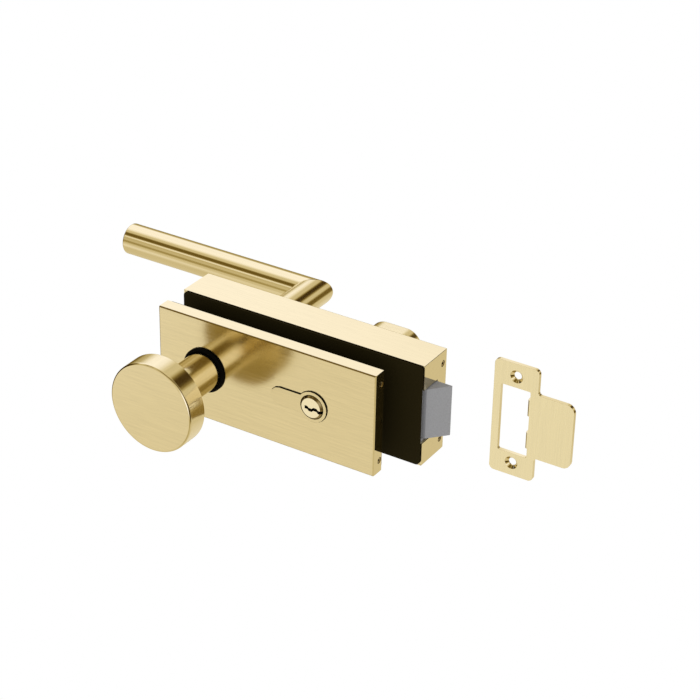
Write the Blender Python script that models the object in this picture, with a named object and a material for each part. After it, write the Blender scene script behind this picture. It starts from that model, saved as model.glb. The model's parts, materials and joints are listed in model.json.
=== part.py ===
"""Glass door lock: knob outside, lever and thumb-turn inside, key cylinder, latch and strike plate.

Metres. +X points to the latch, +Y from the outside (knob) to the inside (lever), +Z is up.
The origin lies on the face of the rear pad that meets the glass, halfway between the two axes.
"""

import math

import bmesh
import bpy
from mathutils import Matrix, Vector

# Fits
GAP = 0.0003                  # clearance between pieces that seat on each other
TURNING_GAP = 0.0003          # radial clearance of a turning piece

# Glass and pads
GLASS = 0.0120                # glass that the two halves clamp
PAD_THICK = 0.0009
PAD_INSET = 0.0006
PAD_CORNER = 0.0020

# Folded covers
HEIGHT = 0.0573
SHEET = 0.0012
BEND = 0.0006                 # outer radius of the folds round the face
CORNER_SLIT = 0.0002          # open seam between two folded sides
AXIS_PITCH = 0.0657           # spindle axis to cylinder axis
COVER_BEHIND_SPINDLE = 0.0281
COVER_PAST_CYLINDER = 0.0360
COVER_DEPTH = 0.0076
CASE_PAST_CYLINDER = 0.0506
CASE_DEPTH = 0.0220
PRY_NOTCH_HEIGHT = 0.0024
PRY_NOTCH_DEPTH = 0.0013

# Screws that hold the covers
GRUB_RADIUS = 0.0015
GRUB_LENGTH = 0.0040
GRUB_SPREAD = 0.0435          # upper to lower screw
GRUB_FROM_COVER_EDGE = 0.0022
GRUB_FROM_CASE_REAR = 0.0040
GRUB_RECESS = 0.0003

# Clamping screws through the glass
CLAMP_PLATE_THICK = 0.0042
CLAMP_SCREW_RADIUS = 0.0025
CLAMP_HEAD_RADIUS = 0.0046
CLAMP_SPREAD = 0.0320         # upper to lower screw
CLAMP_BEHIND_SPINDLE = 0.0188
CLAMP_PAST_CYLINDER = 0.0095
CLAMP_SOCKET_WIDTH = 0.0030
CLAMP_SOCKET_DEPTH = 0.0025
SLEEVE_RADIUS = 0.0040
BOSS_WALL = 0.0014
BOSS_HEIGHT = 0.0048

# Knob
KNOB_RADIUS = 0.0244
KNOB_THICK = 0.0120
KNOB_REACH = 0.0461           # cover face to knob face
KNOB_NECK_RADIUS = 0.0105
KNOB_EDGE = 0.0006
NECK_FILLET = 0.0006
COLLAR_RADIUS = 0.0124
COLLAR_PROUD = 0.0015
COLLAR_CHAMFER = 0.0010
COLLAR_SPIGOT_RADIUS = 0.0099
STUD_RADIUS = 0.0040
STUD_IN_KNOB = 0.0140

# Lever
LEVER_RADIUS = 0.0089
LEVER_REACH = 0.0557          # case rear to the grip's axis
LEVER_LENGTH = 0.1220         # spindle axis to the grip's free end
LEVER_EDGE = 0.0007
MITRE_GROOVE = 0.0003
LEVER_JOURNAL_RADIUS = 0.0068
LEVER_GRUB_RADIUS = 0.0025
LEVER_GRUB_FROM_BUSH = 0.0150
SPINDLE_WIDTH = 0.0080
SPINDLE_IN_LEVER = 0.0320

# Euro-profile cylinder
PROFILE_RADIUS = 0.0085
PROFILE_HEIGHT = 0.0330
LEG_WIDTH = 0.0100
CYLINDER_REAR_PROUD = 0.0005
CAM_SLOT_WIDTH = 0.0100
CAM_SLOT_FROM_BASE = 0.0038   # case front edge to the slot
CAM_SLOT_REACH = 0.0120       # axis to the bridge that joins the two halves
PLUG_RADIUS = 0.00645
PLUG_PROUD = 0.0018
PLUG_EDGE = 0.0010
KEYWAY_WIDTH = 0.0018
KEYWAY_LEFT = 0.0036
KEYWAY_DROP = 0.0007
PIN_COUNT = 5
PIN_PITCH = 0.0040
PIN_RADIUS = 0.0013
FIRST_PIN_FROM_FACE = 0.0043
KEY_PIN_REACH = 0.0024        # plug axis to the tip of a key pin
DRIVER_PIN_LENGTH = 0.0048
PIN_CHAMBER_LENGTH = 0.0120
BRIDGE_SCREW_RADIUS = 0.0025
BRIDGE_HEAD_RADIUS = 0.0040
BRIDGE_HEAD_THICK = 0.0017
BRIDGE_SOCKET_WIDTH = 0.0030
BRIDGE_SOCKET_DEPTH = 0.0013

# Thumb-turn
TURN_WIDTH = 0.0305
TURN_HEIGHT = 0.0184
TURN_REACH = 0.0374           # case rear to the end of the turn
TURN_GRIP_DEPTH = 0.0140
TURN_EDGE = 0.0006
TURN_NECK_RADIUS = 0.0080
TURN_SHAFT_RADIUS = 0.0035

# Lock works
BASE_THICK = 0.0015
SIDE_WALL = 0.0020
END_WALL = 0.0030
LID_THICK = 0.0015
LID_FROM_REAR = 0.0042        # case rear face to the lid's rear face
LID_SCREW_RADIUS = 0.0015
LID_HEAD_RADIUS = 0.0028
LID_HEAD_THICK = 0.0015
LID_SOCKET_WIDTH = 0.0020
LID_SOCKET_DEPTH = 0.0010
LID_POST_RADIUS = 0.0030
GEAR_MODULE = 0.0010
GEAR_TEETH = 15
RACK_ADDENDUM = 0.0008
TOOTH_BACKLASH = 0.0003
PRESSURE_ANGLE = math.radians(20)
CARRIAGE_TRAVEL = 0.0085
CARRIAGE_WIDTH = 0.0050       # in Y
CARRIAGE_LENGTH = 0.0290
CARRIAGE_HEIGHT = 0.0101      # tooth root to top
CARRIAGE_BEHIND_CYLINDER = 0.0115
GUIDE_POST_RADIUS = 0.0015
LATCH_HEIGHT = 0.0283
LATCH_THICK = 0.0103
LATCH_FROM_EDGE = 0.0028      # case front edge to the latch
LATCH_PROUD = 0.0086
LATCH_BODY = 0.0180           # straight length inside the case
LATCH_NOSE = 0.0006
LATCH_NOTCH_ABOVE = 0.0005    # extra room over the latch in the case's end
LATCH_NOTCH_BELOW = 0.0014    # the same, under it
LEVER_SWING = math.radians(35)
FOLLOWER_RADIUS = 0.0085
FOLLOWER_JOURNAL_RADIUS = 0.0066
FOLLOWER_ARM_REACH = 0.0150
FOLLOWER_ARM_RADIUS = 0.0025
FOLLOWER_ARM_WIDTH = 0.0036
BAR_FROM_EDGE = 0.0069        # case front edge to the bar
BAR_THICK = 0.0030
BAR_HEIGHT = 0.0040
BAR_OVER_FOLLOWER = 0.0005
BAR_HOOK_THICK = 0.0030
BAR_HOOK_DROP = 0.0075
BAR_HOOK_PLAY = 0.00042
BAR_LUG_THICK = 0.0032
BAR_LUG_DROP = 0.0046
BAR_FOOT_THICK = 0.0020
BAR_FOOT_DROP = 0.0130
LATCH_PIN_RADIUS = 0.0012
LATCH_PIN_LENGTH = 0.0110
SPRING_WIRE = 0.00045
LATCH_SPRING_RADIUS = 0.0029
LATCH_SPRING_IN_BOLT = 0.0120
SMALL_SPRING_RADIUS = 0.0018
SPRING_POST_THICK = 0.0025
SPRING_PITCH = 0.0030

# Strike plate
STRIKE_FROM_CASE = 0.0267
STRIKE_WIDTH = 0.0245
STRIKE_HEIGHT = 0.0637
STRIKE_THICK = 0.0020
STRIKE_LIP_REACH = 0.0444
STRIKE_LIP_HEIGHT = 0.0361
STRIKE_LIP_CORNER = 0.0043
STRIKE_OPENING_WIDTH = 0.0162
STRIKE_HOLE_FROM_END = 0.00715
STRIKE_OPENING_FROM_HOLE = 0.00585
STRIKE_OPENING_DROP = 0.0003  # the opening's middle lies this far under the latch's
STRIKE_CORNER = 0.0026
STRIKE_INNER_CORNER = 0.0016
STRIKE_HOLE_RADIUS = 0.0021
STRIKE_SINK_RADIUS = 0.0035
STRIKE_TONGUE_HEIGHT = 0.0090
STRIKE_TONGUE_FROM_END = 0.0096  # opening's end to the tongue's middle
STRIKE_TONGUE_DEPTH = 0.0040
STRIKE_TONGUE_THICK = 0.0015

# Roundness
FINE = 32
ROUND = 24
SMALL = 12
PIN_SIDES = 8
COIL_STEPS = 6
SHARP_ANGLE = math.radians(35)

# Screw ends, over the screw's radius
SCREW_TIP = 0.8
GRUB_POINT = 0.6
GRUB_RIM = 0.93

# Places that follow from the sizes
SPINDLE_X = -AXIS_PITCH / 2
CYLINDER_X = AXIS_PITCH / 2
TOP = HEIGHT / 2
COVER_X0 = SPINDLE_X - COVER_BEHIND_SPINDLE
COVER_X1 = CYLINDER_X + COVER_PAST_CYLINDER
CASE_X0 = COVER_X0
CASE_X1 = CYLINDER_X + CASE_PAST_CYLINDER
CASE_EDGE_Y = PAD_THICK + GAP
CASE_REAR_Y = CASE_EDGE_Y + CASE_DEPTH
COVER_EDGE_Y = -GLASS - PAD_THICK - GAP
COVER_FACE_Y = COVER_EDGE_Y - COVER_DEPTH
PLATE_FRONT_Y = COVER_EDGE_Y - CLAMP_PLATE_THICK
BASE_Y = CASE_EDGE_Y + BASE_THICK
WORKS_X0 = CASE_X0 + SHEET + GAP
WORKS_X1 = CASE_X1 - SHEET - GAP
WORKS_TOP = TOP - SHEET - GAP
WORKS_REAR_Y = CASE_REAR_Y - SHEET - GAP
LID_Y1 = CASE_REAR_Y - LID_FROM_REAR
LID_Y0 = LID_Y1 - LID_THICK
SLOT_Y0 = CASE_EDGE_Y + CAM_SLOT_FROM_BASE
SLOT_Y1 = SLOT_Y0 + CAM_SLOT_WIDTH
SLOT_MID_Y = (SLOT_Y0 + SLOT_Y1) / 2
LEG_END_REACH = PROFILE_HEIGHT - PROFILE_RADIUS - LEG_WIDTH / 2
BRIDGE_SCREW_X = CYLINDER_X - LEG_END_REACH
CYLINDER_REAR_Y = CASE_REAR_Y + CYLINDER_REAR_PROUD
LATCH_Y0 = CASE_EDGE_Y + LATCH_FROM_EDGE
LATCH_Y1 = LATCH_Y0 + LATCH_THICK
LATCH_REAR_X = WORKS_X1 + SHEET + GAP - LATCH_BODY
BAR_Y0 = CASE_EDGE_Y + BAR_FROM_EDGE
BAR_Y1 = BAR_Y0 + BAR_THICK
BAR_MID_Y = (BAR_Y0 + BAR_Y1) / 2
BAR_Z0 = FOLLOWER_ARM_REACH + FOLLOWER_ARM_RADIUS + BAR_OVER_FOLLOWER
BAR_Z1 = BAR_Z0 + BAR_HEIGHT
PITCH_RADIUS = GEAR_MODULE * GEAR_TEETH / 2
LEVER_AXIS_Y = CASE_REAR_Y + LEVER_REACH
STRIKE_HOLE_Z = STRIKE_HEIGHT / 2 - STRIKE_HOLE_FROM_END
STRIKE_OPENING_TOP = STRIKE_HOLE_Z - STRIKE_OPENING_FROM_HOLE
BUSH_FACE_Y = CASE_REAR_Y + COLLAR_PROUD
CLAMP_SPOTS = [
    (x, side * CLAMP_SPREAD / 2)
    for x in (SPINDLE_X - CLAMP_BEHIND_SPINDLE, CYLINDER_X + CLAMP_PAST_CYLINDER)
    for side in (1, -1)
]
LID_POST_Z = WORKS_TOP - SIDE_WALL - LID_POST_RADIUS - 2 * GAP
LID_SPOTS = [
    (WORKS_X0 + END_WALL + LID_POST_RADIUS + 2 * GAP, 0.0),
    ((SPINDLE_X + FOLLOWER_RADIUS + CYLINDER_X - PROFILE_HEIGHT + PROFILE_RADIUS) / 2, 0.0),
    (WORKS_X1 - END_WALL - LID_POST_RADIUS - 2 * GAP, LID_POST_Z),
    (WORKS_X1 - END_WALL - LID_POST_RADIUS - 2 * GAP, -LID_POST_Z),
]


def clear_scene():
    for thing in list(bpy.data.objects):
        bpy.data.objects.remove(thing, do_unlink=True)


def finish(name, colour, metallic, roughness):
    """A plain material of the piece's own colour."""
    material = bpy.data.materials.new(name)
    material.use_nodes = True
    shader = material.node_tree.nodes["Principled BSDF"]
    shader.inputs["Base Color"].default_value = (*colour, 1.0)
    shader.inputs["Metallic"].default_value = metallic
    shader.inputs["Roughness"].default_value = roughness
    return material


def axis_empty(name, at, parent=None):
    """An empty on a joint's axis, which carries the pieces that move with it."""
    empty = bpy.data.objects.new(name, None)
    empty.empty_display_size = 0.01
    bpy.context.collection.objects.link(empty)
    empty.parent = parent
    empty.location = at
    return empty


def piece(name, bm, material, at=(0, 0, 0), parent=None):
    """Turns a bmesh into a named object; its points are measured from `at`."""
    bmesh.ops.recalc_face_normals(bm, faces=bm.faces)
    mesh = bpy.data.meshes.new(name)
    bm.to_mesh(mesh)
    bm.free()
    mesh.materials.append(material)
    mesh.shade_smooth()
    mesh.set_sharp_from_angle(angle=SHARP_ANGLE)
    thing = bpy.data.objects.new(name, mesh)
    bpy.context.collection.objects.link(thing)
    thing.parent = parent
    thing.location = at
    return thing


def combine(target, bm, operation):
    """Adds or cuts a shape, given in the target's own coordinates."""
    bmesh.ops.recalc_face_normals(bm, faces=bm.faces)
    mesh = bpy.data.meshes.new(target.name + "_shape")
    bm.to_mesh(mesh)
    bm.free()
    shape = bpy.data.objects.new(target.name + "_shape", mesh)
    bpy.context.collection.objects.link(shape)
    shape.parent = target
    shape.hide_render = True
    shape.display_type = "WIRE"
    modifier = target.modifiers.new(operation.title(), "BOOLEAN")
    modifier.object = shape
    modifier.operation = operation
    modifier.solver = "EXACT"


def join(shapes):
    """One bmesh that holds several shapes."""
    whole = bmesh.new()
    for shape in shapes:
        mesh = bpy.data.meshes.new("shape")
        shape.to_mesh(mesh)
        shape.free()
        whole.from_mesh(mesh)
        bpy.data.meshes.remove(mesh)
    return whole


def loft(loops, closed=False):
    """Skins loops with equal counts of points; ends are capped, or joined when closed."""
    bm = bmesh.new()
    rings = [[bm.verts.new(point) for point in loop] for loop in loops]
    pairs = list(zip(rings, rings[1:]))
    if closed:
        pairs.append((rings[-1], rings[0]))
    count = len(rings[0])
    for low, high in pairs:
        for i in range(count):
            j = (i + 1) % count
            bm.faces.new((low[i], low[j], high[j], high[i]))
    if not closed:
        bm.faces.new(rings[0])
        bm.faces.new(rings[-1])
    return bm


def angles(count):
    return [2 * math.pi * (i + 0.5) / count for i in range(count)]


def circle(radius, y, count=ROUND, x=0.0, z=0.0):
    return [(x + radius * math.cos(a), y, z + radius * math.sin(a)) for a in angles(count)]


def polygon_ring(flats, sides, y, count):
    """Points at equal angles on a regular polygon, given the distance across its flats."""
    step = 2 * math.pi / sides
    loop = []
    for i in range(count):
        a = 2 * math.pi * i / count
        off_flat = (a + step / 2) % step - step / 2
        reach = flats / 2 / math.cos(off_flat)
        loop.append((reach * math.cos(a), y, reach * math.sin(a)))
    return loop


def even_circle(radius, y, count):
    """A circle with points on both axes, at the same angles as a polygon ring's."""
    return [
        (radius * math.cos(2 * math.pi * i / count), y, radius * math.sin(2 * math.pi * i / count))
        for i in range(count)
    ]


def turned(profile, count=ROUND, closed=False):
    """A piece turned about Y from (radius, y) pairs."""
    return loft([circle(radius, y, count) for radius, y in profile], closed)


def rod(radius, start, end, count=SMALL, x=0.0, z=0.0):
    return loft([circle(radius, start, count, x, z), circle(radius, end, count, x, z)])


def along_x(bm, x=0.0, y=0.0, z=0.0):
    """Lays a shape made about Y along +X, its zero at (x, y, z)."""
    turn = Matrix.Rotation(math.radians(-90), 4, "Z")
    bm.transform(Matrix.Translation(Vector((x, y, z))) @ turn)
    return bm


def along_z(bm, x=0.0, y=0.0, z=0.0):
    """Stands a shape made about Y along +Z, its zero at (x, y, z)."""
    turn = Matrix.Rotation(math.radians(90), 4, "X")
    bm.transform(Matrix.Translation(Vector((x, y, z))) @ turn)
    return bm


def prism(outline, y0, y1):
    """Extrudes an (x, z) outline along Y."""
    return loft([[(x, y, z) for x, z in outline] for y in (y0, y1)])


def block(x0, x1, y0, y1, z0, z1):
    return prism([(x0, z0), (x1, z0), (x1, z1), (x0, z1)], y0, y1)


def arc(cx, cz, radius, start, end, steps):
    return [
        (
            cx + radius * math.cos(math.radians(start + (end - start) * i / steps)),
            cz + radius * math.sin(math.radians(start + (end - start) * i / steps)),
        )
        for i in range(steps + 1)
    ]


def rounded(x0, x1, z0, z1, radius, steps=4):
    """A rectangle with round corners, as an outline."""
    corners = [(x1, z1, 0), (x0, z1, 90), (x0, z0, 180), (x1, z0, 270)]
    outline = []
    for x, z, start in corners:
        inward_x = -radius if x == x1 else radius
        inward_z = -radius if z == z1 else radius
        outline += arc(x + inward_x, z + inward_z, radius, start, start + 90, steps)
    return outline


def fillet(outline, radii, steps=4):
    """Rounds each corner of an outline by its own radius."""
    result = []
    count = len(outline)
    for i, radius in enumerate(radii):
        corner = Vector(outline[i])
        back = (Vector(outline[i - 1]) - corner).normalized()
        ahead = (Vector(outline[(i + 1) % count]) - corner).normalized()
        half = back.angle(ahead) / 2
        start = corner + back * radius / math.tan(half)
        end = corner + ahead * radius / math.tan(half)
        centre = corner + (back + ahead).normalized() * radius / math.sin(half)
        for k in range(steps + 1):
            way = start.lerp(end, k / steps) - centre
            result.append(tuple(centre + way.normalized() * radius))
    return result


def profile_outline(grow=0.0):
    """The euro profile about the cylinder's axis: a circle with a leg towards -X."""
    radius = PROFILE_RADIUS + grow
    half = LEG_WIDTH / 2 + grow
    waist = 180 - math.degrees(math.asin(half / radius))
    return arc(0, 0, radius, -waist, waist, 18) + arc(-LEG_END_REACH, 0, half, 90, 270, 6)


def gear_outline():
    """Involute teeth, the first one pointing up."""
    base = PITCH_RADIUS * math.cos(PRESSURE_ANGLE)
    root = PITCH_RADIUS - RACK_ADDENDUM - TOOTH_BACKLASH
    tip = PITCH_RADIUS + GEAR_MODULE
    involute = math.tan(PRESSURE_ANGLE) - PRESSURE_ANGLE
    half_pitch = math.pi / GEAR_TEETH / 2 - TOOTH_BACKLASH / 4 / PITCH_RADIUS
    flank = []
    for radius in (base, PITCH_RADIUS, tip):
        pressure = math.acos(base / radius)
        flank.append((radius, half_pitch + involute - math.tan(pressure) + pressure))
    flank.insert(0, (root, flank[0][1]))
    outline = []
    for tooth in range(GEAR_TEETH):
        middle = math.pi / 2 - 2 * math.pi * tooth / GEAR_TEETH
        for radius, half in flank:
            outline.append((radius * math.cos(middle + half), radius * math.sin(middle + half)))
        for radius, half in reversed(flank):
            outline.append((radius * math.cos(middle - half), radius * math.sin(middle - half)))
    return outline


def rack_outline():
    """The carriage about the cylinder's axis: a plate with teeth along its lower edge."""
    left = -CARRIAGE_BEHIND_CYLINDER
    right = left + CARRIAGE_LENGTH
    root = PITCH_RADIUS + GEAR_MODULE + GAP
    tip = PITCH_RADIUS - RACK_ADDENDUM
    top = root + CARRIAGE_HEIGHT - GEAR_MODULE - GAP
    pitch = math.pi * GEAR_MODULE
    half_pitch = pitch / 4 - TOOTH_BACKLASH / 4
    half_tip = half_pitch - (PITCH_RADIUS - tip) * math.tan(PRESSURE_ANGLE)
    half_root = half_pitch + (root - PITCH_RADIUS) * math.tan(PRESSURE_ANGLE)
    outline = [(left, top), (left, root)]
    first = math.ceil((left + half_root) / pitch - 0.5)
    last = math.floor((right - half_root) / pitch - 0.5)
    for tooth in range(first, last + 1):
        middle = (tooth + 0.5) * pitch
        outline += [(middle - half_root, root), (middle - half_tip, tip)]
        outline += [(middle + half_tip, tip), (middle + half_root, root)]
    return outline + [(right, root), (right, top)]


def rectangle_loop(x0, x1, half, y, inset):
    return [
        (x0 + inset, y, -half + inset),
        (x1 - inset, y, -half + inset),
        (x1 - inset, y, half - inset),
        (x0 + inset, y, half - inset),
    ]


def folded_tray(x0, x1, face_y, edge_y):
    """A sheet folded round all four sides of its face, open towards edge_y."""
    inward = 1 if edge_y > face_y else -1
    loops = []
    for turn in (90, 45, 0):
        rise = BEND * (1 - math.sin(math.radians(turn)))
        inset = BEND * (1 - math.cos(math.radians(turn)))
        loops.append(rectangle_loop(x0, x1, TOP, face_y + inward * rise, inset))
    loops.append(rectangle_loop(x0, x1, TOP, edge_y, 0))
    loops.append(rectangle_loop(x0, x1, TOP, edge_y, SHEET))
    loops.append(rectangle_loop(x0, x1, TOP, face_y + inward * SHEET, SHEET))
    return loft(loops)


def corner_slits(x0, x1, face_y, edge_y):
    """Narrow diagonal gaps at the four corners, where folded sides meet."""
    inward = 1 if edge_y > face_y else -1
    start = face_y + inward * (BEND + SHEET)
    end = edge_y + inward * GAP
    reach = 3 * SHEET
    slits = []
    for x, side_x in ((x0, 1), (x1, -1)):
        for side_z in (1, -1):
            ends = sorted((start, end))
            slit = block(-reach, reach, *ends, -CORNER_SLIT / 2, CORNER_SLIT / 2)
            turn = Matrix.Rotation(math.radians(45) * side_x * side_z, 4, "Y")
            slit.transform(Matrix.Translation(Vector((x, 0, side_z * TOP))) @ turn)
            slits.append(slit)
    return slits


def socket_screw(profile, flats, depth):
    """A turned screw with a hexagon socket in its outer end, which is the profile's last point."""
    loops = [even_circle(radius, y, SMALL) for radius, y in profile]
    face = profile[-1][1]
    inward = -1 if face > profile[0][1] else 1
    loops.append(polygon_ring(flats, 6, face, SMALL))
    loops.append(polygon_ring(flats, 6, face + inward * depth, SMALL))
    return loft(loops)


def coil_spring(name, radius, start, end, y, z, material):
    """A compression spring along X, with closed ends."""
    curve = bpy.data.curves.new(name, "CURVE")
    curve.dimensions = "3D"
    curve.bevel_depth = SPRING_WIRE
    curve.bevel_resolution = 0
    curve.use_fill_caps = True
    free = end - start - 2 * SPRING_WIRE
    steps = COIL_STEPS * max(3, round(free / SPRING_PITCH))
    spline = curve.splines.new("POLY")
    spline.points.add(steps)
    for i in range(steps + 1):
        a = 2 * math.pi * i / COIL_STEPS
        x = start + SPRING_WIRE + free * i / steps
        place = (x, y + radius * math.cos(a), z + radius * math.sin(a), 1)
        spline.points[i].co = place
    curve.materials.append(material)
    thing = bpy.data.objects.new(name, curve)
    bpy.context.collection.objects.link(thing)
    return thing


def grub_screw(radius, length):
    """A grub screw along Y with its socket at y = 0 and its point at y = -length."""
    point = radius * GRUB_POINT
    rim = radius * GRUB_RIM
    profile = [(point, -length), (radius, -length + radius / 2), (radius, -radius / 5), (rim, 0.0)]
    return socket_screw(profile, radius, radius)


def make_front_cover(gold):
    cover = piece("front_cover", folded_tray(COVER_X0, COVER_X1, COVER_FACE_Y, COVER_EDGE_Y), gold)
    through = (COVER_FACE_Y - SHEET, COVER_FACE_Y + 2 * SHEET)
    knob_hole = rod(COLLAR_SPIGOT_RADIUS + GAP, *through, FINE, SPINDLE_X)
    profile_hole = prism([(CYLINDER_X + x, z) for x, z in profile_outline(GAP)], *through)
    screw_y = COVER_EDGE_Y - GRUB_FROM_COVER_EDGE
    grub_holes = [
        along_x(rod(GRUB_RADIUS + GAP, -2 * SHEET, 2 * SHEET), x, screw_y, side * GRUB_SPREAD / 2)
        for x in (COVER_X0, COVER_X1)
        for side in (1, -1)
    ]
    notch = block(
        COVER_X1 - 2 * SHEET, COVER_X1 + SHEET,
        COVER_EDGE_Y - PRY_NOTCH_DEPTH, COVER_EDGE_Y + SHEET,
        -PRY_NOTCH_HEIGHT / 2, PRY_NOTCH_HEIGHT / 2,
    )
    slits = corner_slits(COVER_X0, COVER_X1, COVER_FACE_Y, COVER_EDGE_Y)
    combine(cover, join([knob_hole, profile_hole, notch] + grub_holes + slits), "DIFFERENCE")


def clamp_holes(radius, y0, y1):
    return [rod(radius, y0, y1, SMALL, x, z) for x, z in CLAMP_SPOTS]


def make_front_clamp_plate(steel):
    outline = rounded(
        COVER_X0 + SHEET + GAP, COVER_X1 - SHEET - GAP,
        -TOP + SHEET + GAP, TOP - SHEET - GAP, PAD_CORNER,
    )
    plate = piece("front_clamp_plate", prism(outline, PLATE_FRONT_Y, COVER_EDGE_Y), steel)
    past = SHEET
    stud_hole = rod(STUD_RADIUS + GAP, PLATE_FRONT_Y - past, COVER_EDGE_Y + past, ROUND, SPINDLE_X)
    profile_hole = prism(
        [(CYLINDER_X + x, z) for x, z in profile_outline(GAP)], PLATE_FRONT_Y - past, COVER_EDGE_Y + past
    )
    sink = CLAMP_HEAD_RADIUS - CLAMP_SCREW_RADIUS
    screw_holes = []
    for x, z in CLAMP_SPOTS:
        profile = [
            (CLAMP_HEAD_RADIUS + GAP, PLATE_FRONT_Y - past),
            (CLAMP_HEAD_RADIUS + GAP, PLATE_FRONT_Y + GAP),
            (CLAMP_SCREW_RADIUS + GAP, PLATE_FRONT_Y + GAP + sink),
            (CLAMP_SCREW_RADIUS + GAP, COVER_EDGE_Y + past),
        ]
        screw_holes.append(loft([circle(radius, y, SMALL, x, z) for radius, y in profile]))
    screw_y = COVER_EDGE_Y - GRUB_FROM_COVER_EDGE
    grub_holes = []
    for x, way in ((COVER_X0, 1), (COVER_X1, -1)):
        for side in (1, -1):
            ends = sorted((-way * SHEET, way * (GRUB_LENGTH + GRUB_RECESS + GAP)))
            grub_holes.append(along_x(rod(GRUB_RADIUS + GAP, *ends), x, screw_y, side * GRUB_SPREAD / 2))
    combine(plate, join([stud_hole, profile_hole] + screw_holes + grub_holes), "DIFFERENCE")


def make_pad(name, x0, x1, y0, rubber):
    outline = rounded(x0 + PAD_INSET, x1 - PAD_INSET, -TOP + PAD_INSET, TOP - PAD_INSET, PAD_CORNER)
    pad = piece(name, prism(outline, y0, y0 + PAD_THICK), rubber)
    ends = (y0 - PAD_THICK, y0 + 2 * PAD_THICK)
    holes = clamp_holes(SLEEVE_RADIUS + GAP, *ends)
    holes.append(prism([(CYLINDER_X + x, z) for x, z in profile_outline(GAP)], *ends))
    combine(pad, join(holes), "DIFFERENCE")


def make_cover_screws(prefix, x0, x1, y, steel):
    number = 0
    for x, way in ((x0, -1), (x1, 1)):
        for side in (1, -1):
            number += 1
            screw = grub_screw(GRUB_RADIUS, GRUB_LENGTH)
            if way < 0:
                screw.transform(Matrix.Rotation(math.pi, 4, "Z"))
            place = (x - way * GRUB_RECESS, y, side * GRUB_SPREAD / 2)
            piece(f"{prefix}_grub_screw_{number}", along_x(screw), steel, place)


def make_clamp_screws(steel, nylon):
    head_y = PLATE_FRONT_Y + GAP
    sink = CLAMP_HEAD_RADIUS - CLAMP_SCREW_RADIUS
    tip_y = BASE_Y + BOSS_HEIGHT - GAP
    profile = [
        (CLAMP_SCREW_RADIUS * SCREW_TIP, tip_y),
        (CLAMP_SCREW_RADIUS, tip_y - CLAMP_SCREW_RADIUS / 3),
        (CLAMP_SCREW_RADIUS, head_y + sink),
        (CLAMP_HEAD_RADIUS, head_y),
    ]
    sleeve = [
        (CLAMP_SCREW_RADIUS + GAP, COVER_EDGE_Y + GAP),
        (SLEEVE_RADIUS, COVER_EDGE_Y + GAP),
        (SLEEVE_RADIUS, CASE_EDGE_Y - GAP),
        (CLAMP_SCREW_RADIUS + GAP, CASE_EDGE_Y - GAP),
    ]
    for number, (x, z) in enumerate(CLAMP_SPOTS, 1):
        screw = socket_screw(profile, CLAMP_SOCKET_WIDTH, CLAMP_SOCKET_DEPTH)
        piece(f"clamp_screw_{number}", screw, steel, (x, 0, z))
        piece(f"glass_sleeve_{number}", turned(sleeve, SMALL, closed=True), nylon, (x, 0, z))


def make_knob(gold, nylon, steel):
    face = COVER_FACE_Y - KNOB_REACH
    back = face + KNOB_THICK
    neck_end = COVER_FACE_Y - COLLAR_PROUD - GAP
    bore = STUD_RADIUS + GAP
    profile = [
        (KNOB_RADIUS - KNOB_EDGE, face),
        (KNOB_RADIUS, face + KNOB_EDGE),
        (KNOB_RADIUS, back - KNOB_EDGE / 2),
        (KNOB_RADIUS - KNOB_EDGE / 2, back),
        (KNOB_NECK_RADIUS + NECK_FILLET, back),
        (KNOB_NECK_RADIUS, back + NECK_FILLET),
        (KNOB_NECK_RADIUS, neck_end - KNOB_EDGE / 2),
        (KNOB_NECK_RADIUS - KNOB_EDGE / 2, neck_end),
        (bore, neck_end),
        (bore, neck_end - STUD_IN_KNOB),
    ]
    spun = loft([even_circle(radius, y, FINE) for radius, y in profile])
    piece("knob", spun, gold, (SPINDLE_X, 0, 0))
    collar = [
        (COLLAR_RADIUS, COVER_FACE_Y - COLLAR_PROUD + COLLAR_CHAMFER),
        (COLLAR_RADIUS, COVER_FACE_Y - GAP),
        (COLLAR_SPIGOT_RADIUS, COVER_FACE_Y - GAP),
        (COLLAR_SPIGOT_RADIUS, PLATE_FRONT_Y - GAP),
        (bore, PLATE_FRONT_Y - GAP),
        (bore, COVER_FACE_Y - COLLAR_PROUD),
        (COLLAR_RADIUS - COLLAR_CHAMFER, COVER_FACE_Y - COLLAR_PROUD),
    ]
    piece("knob_collar", turned(collar, FINE, closed=True), nylon, (SPINDLE_X, 0, 0))
    stud_end = COVER_EDGE_Y - GAP
    stud = [
        (STUD_RADIUS * SCREW_TIP, neck_end - STUD_IN_KNOB + GAP),
        (STUD_RADIUS, neck_end - STUD_IN_KNOB + GAP + STUD_RADIUS / 4),
        (STUD_RADIUS, stud_end),
    ]
    piece("knob_stud", socket_screw(stud, STUD_RADIUS, STUD_RADIUS), steel, (SPINDLE_X, 0, 0))


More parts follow.
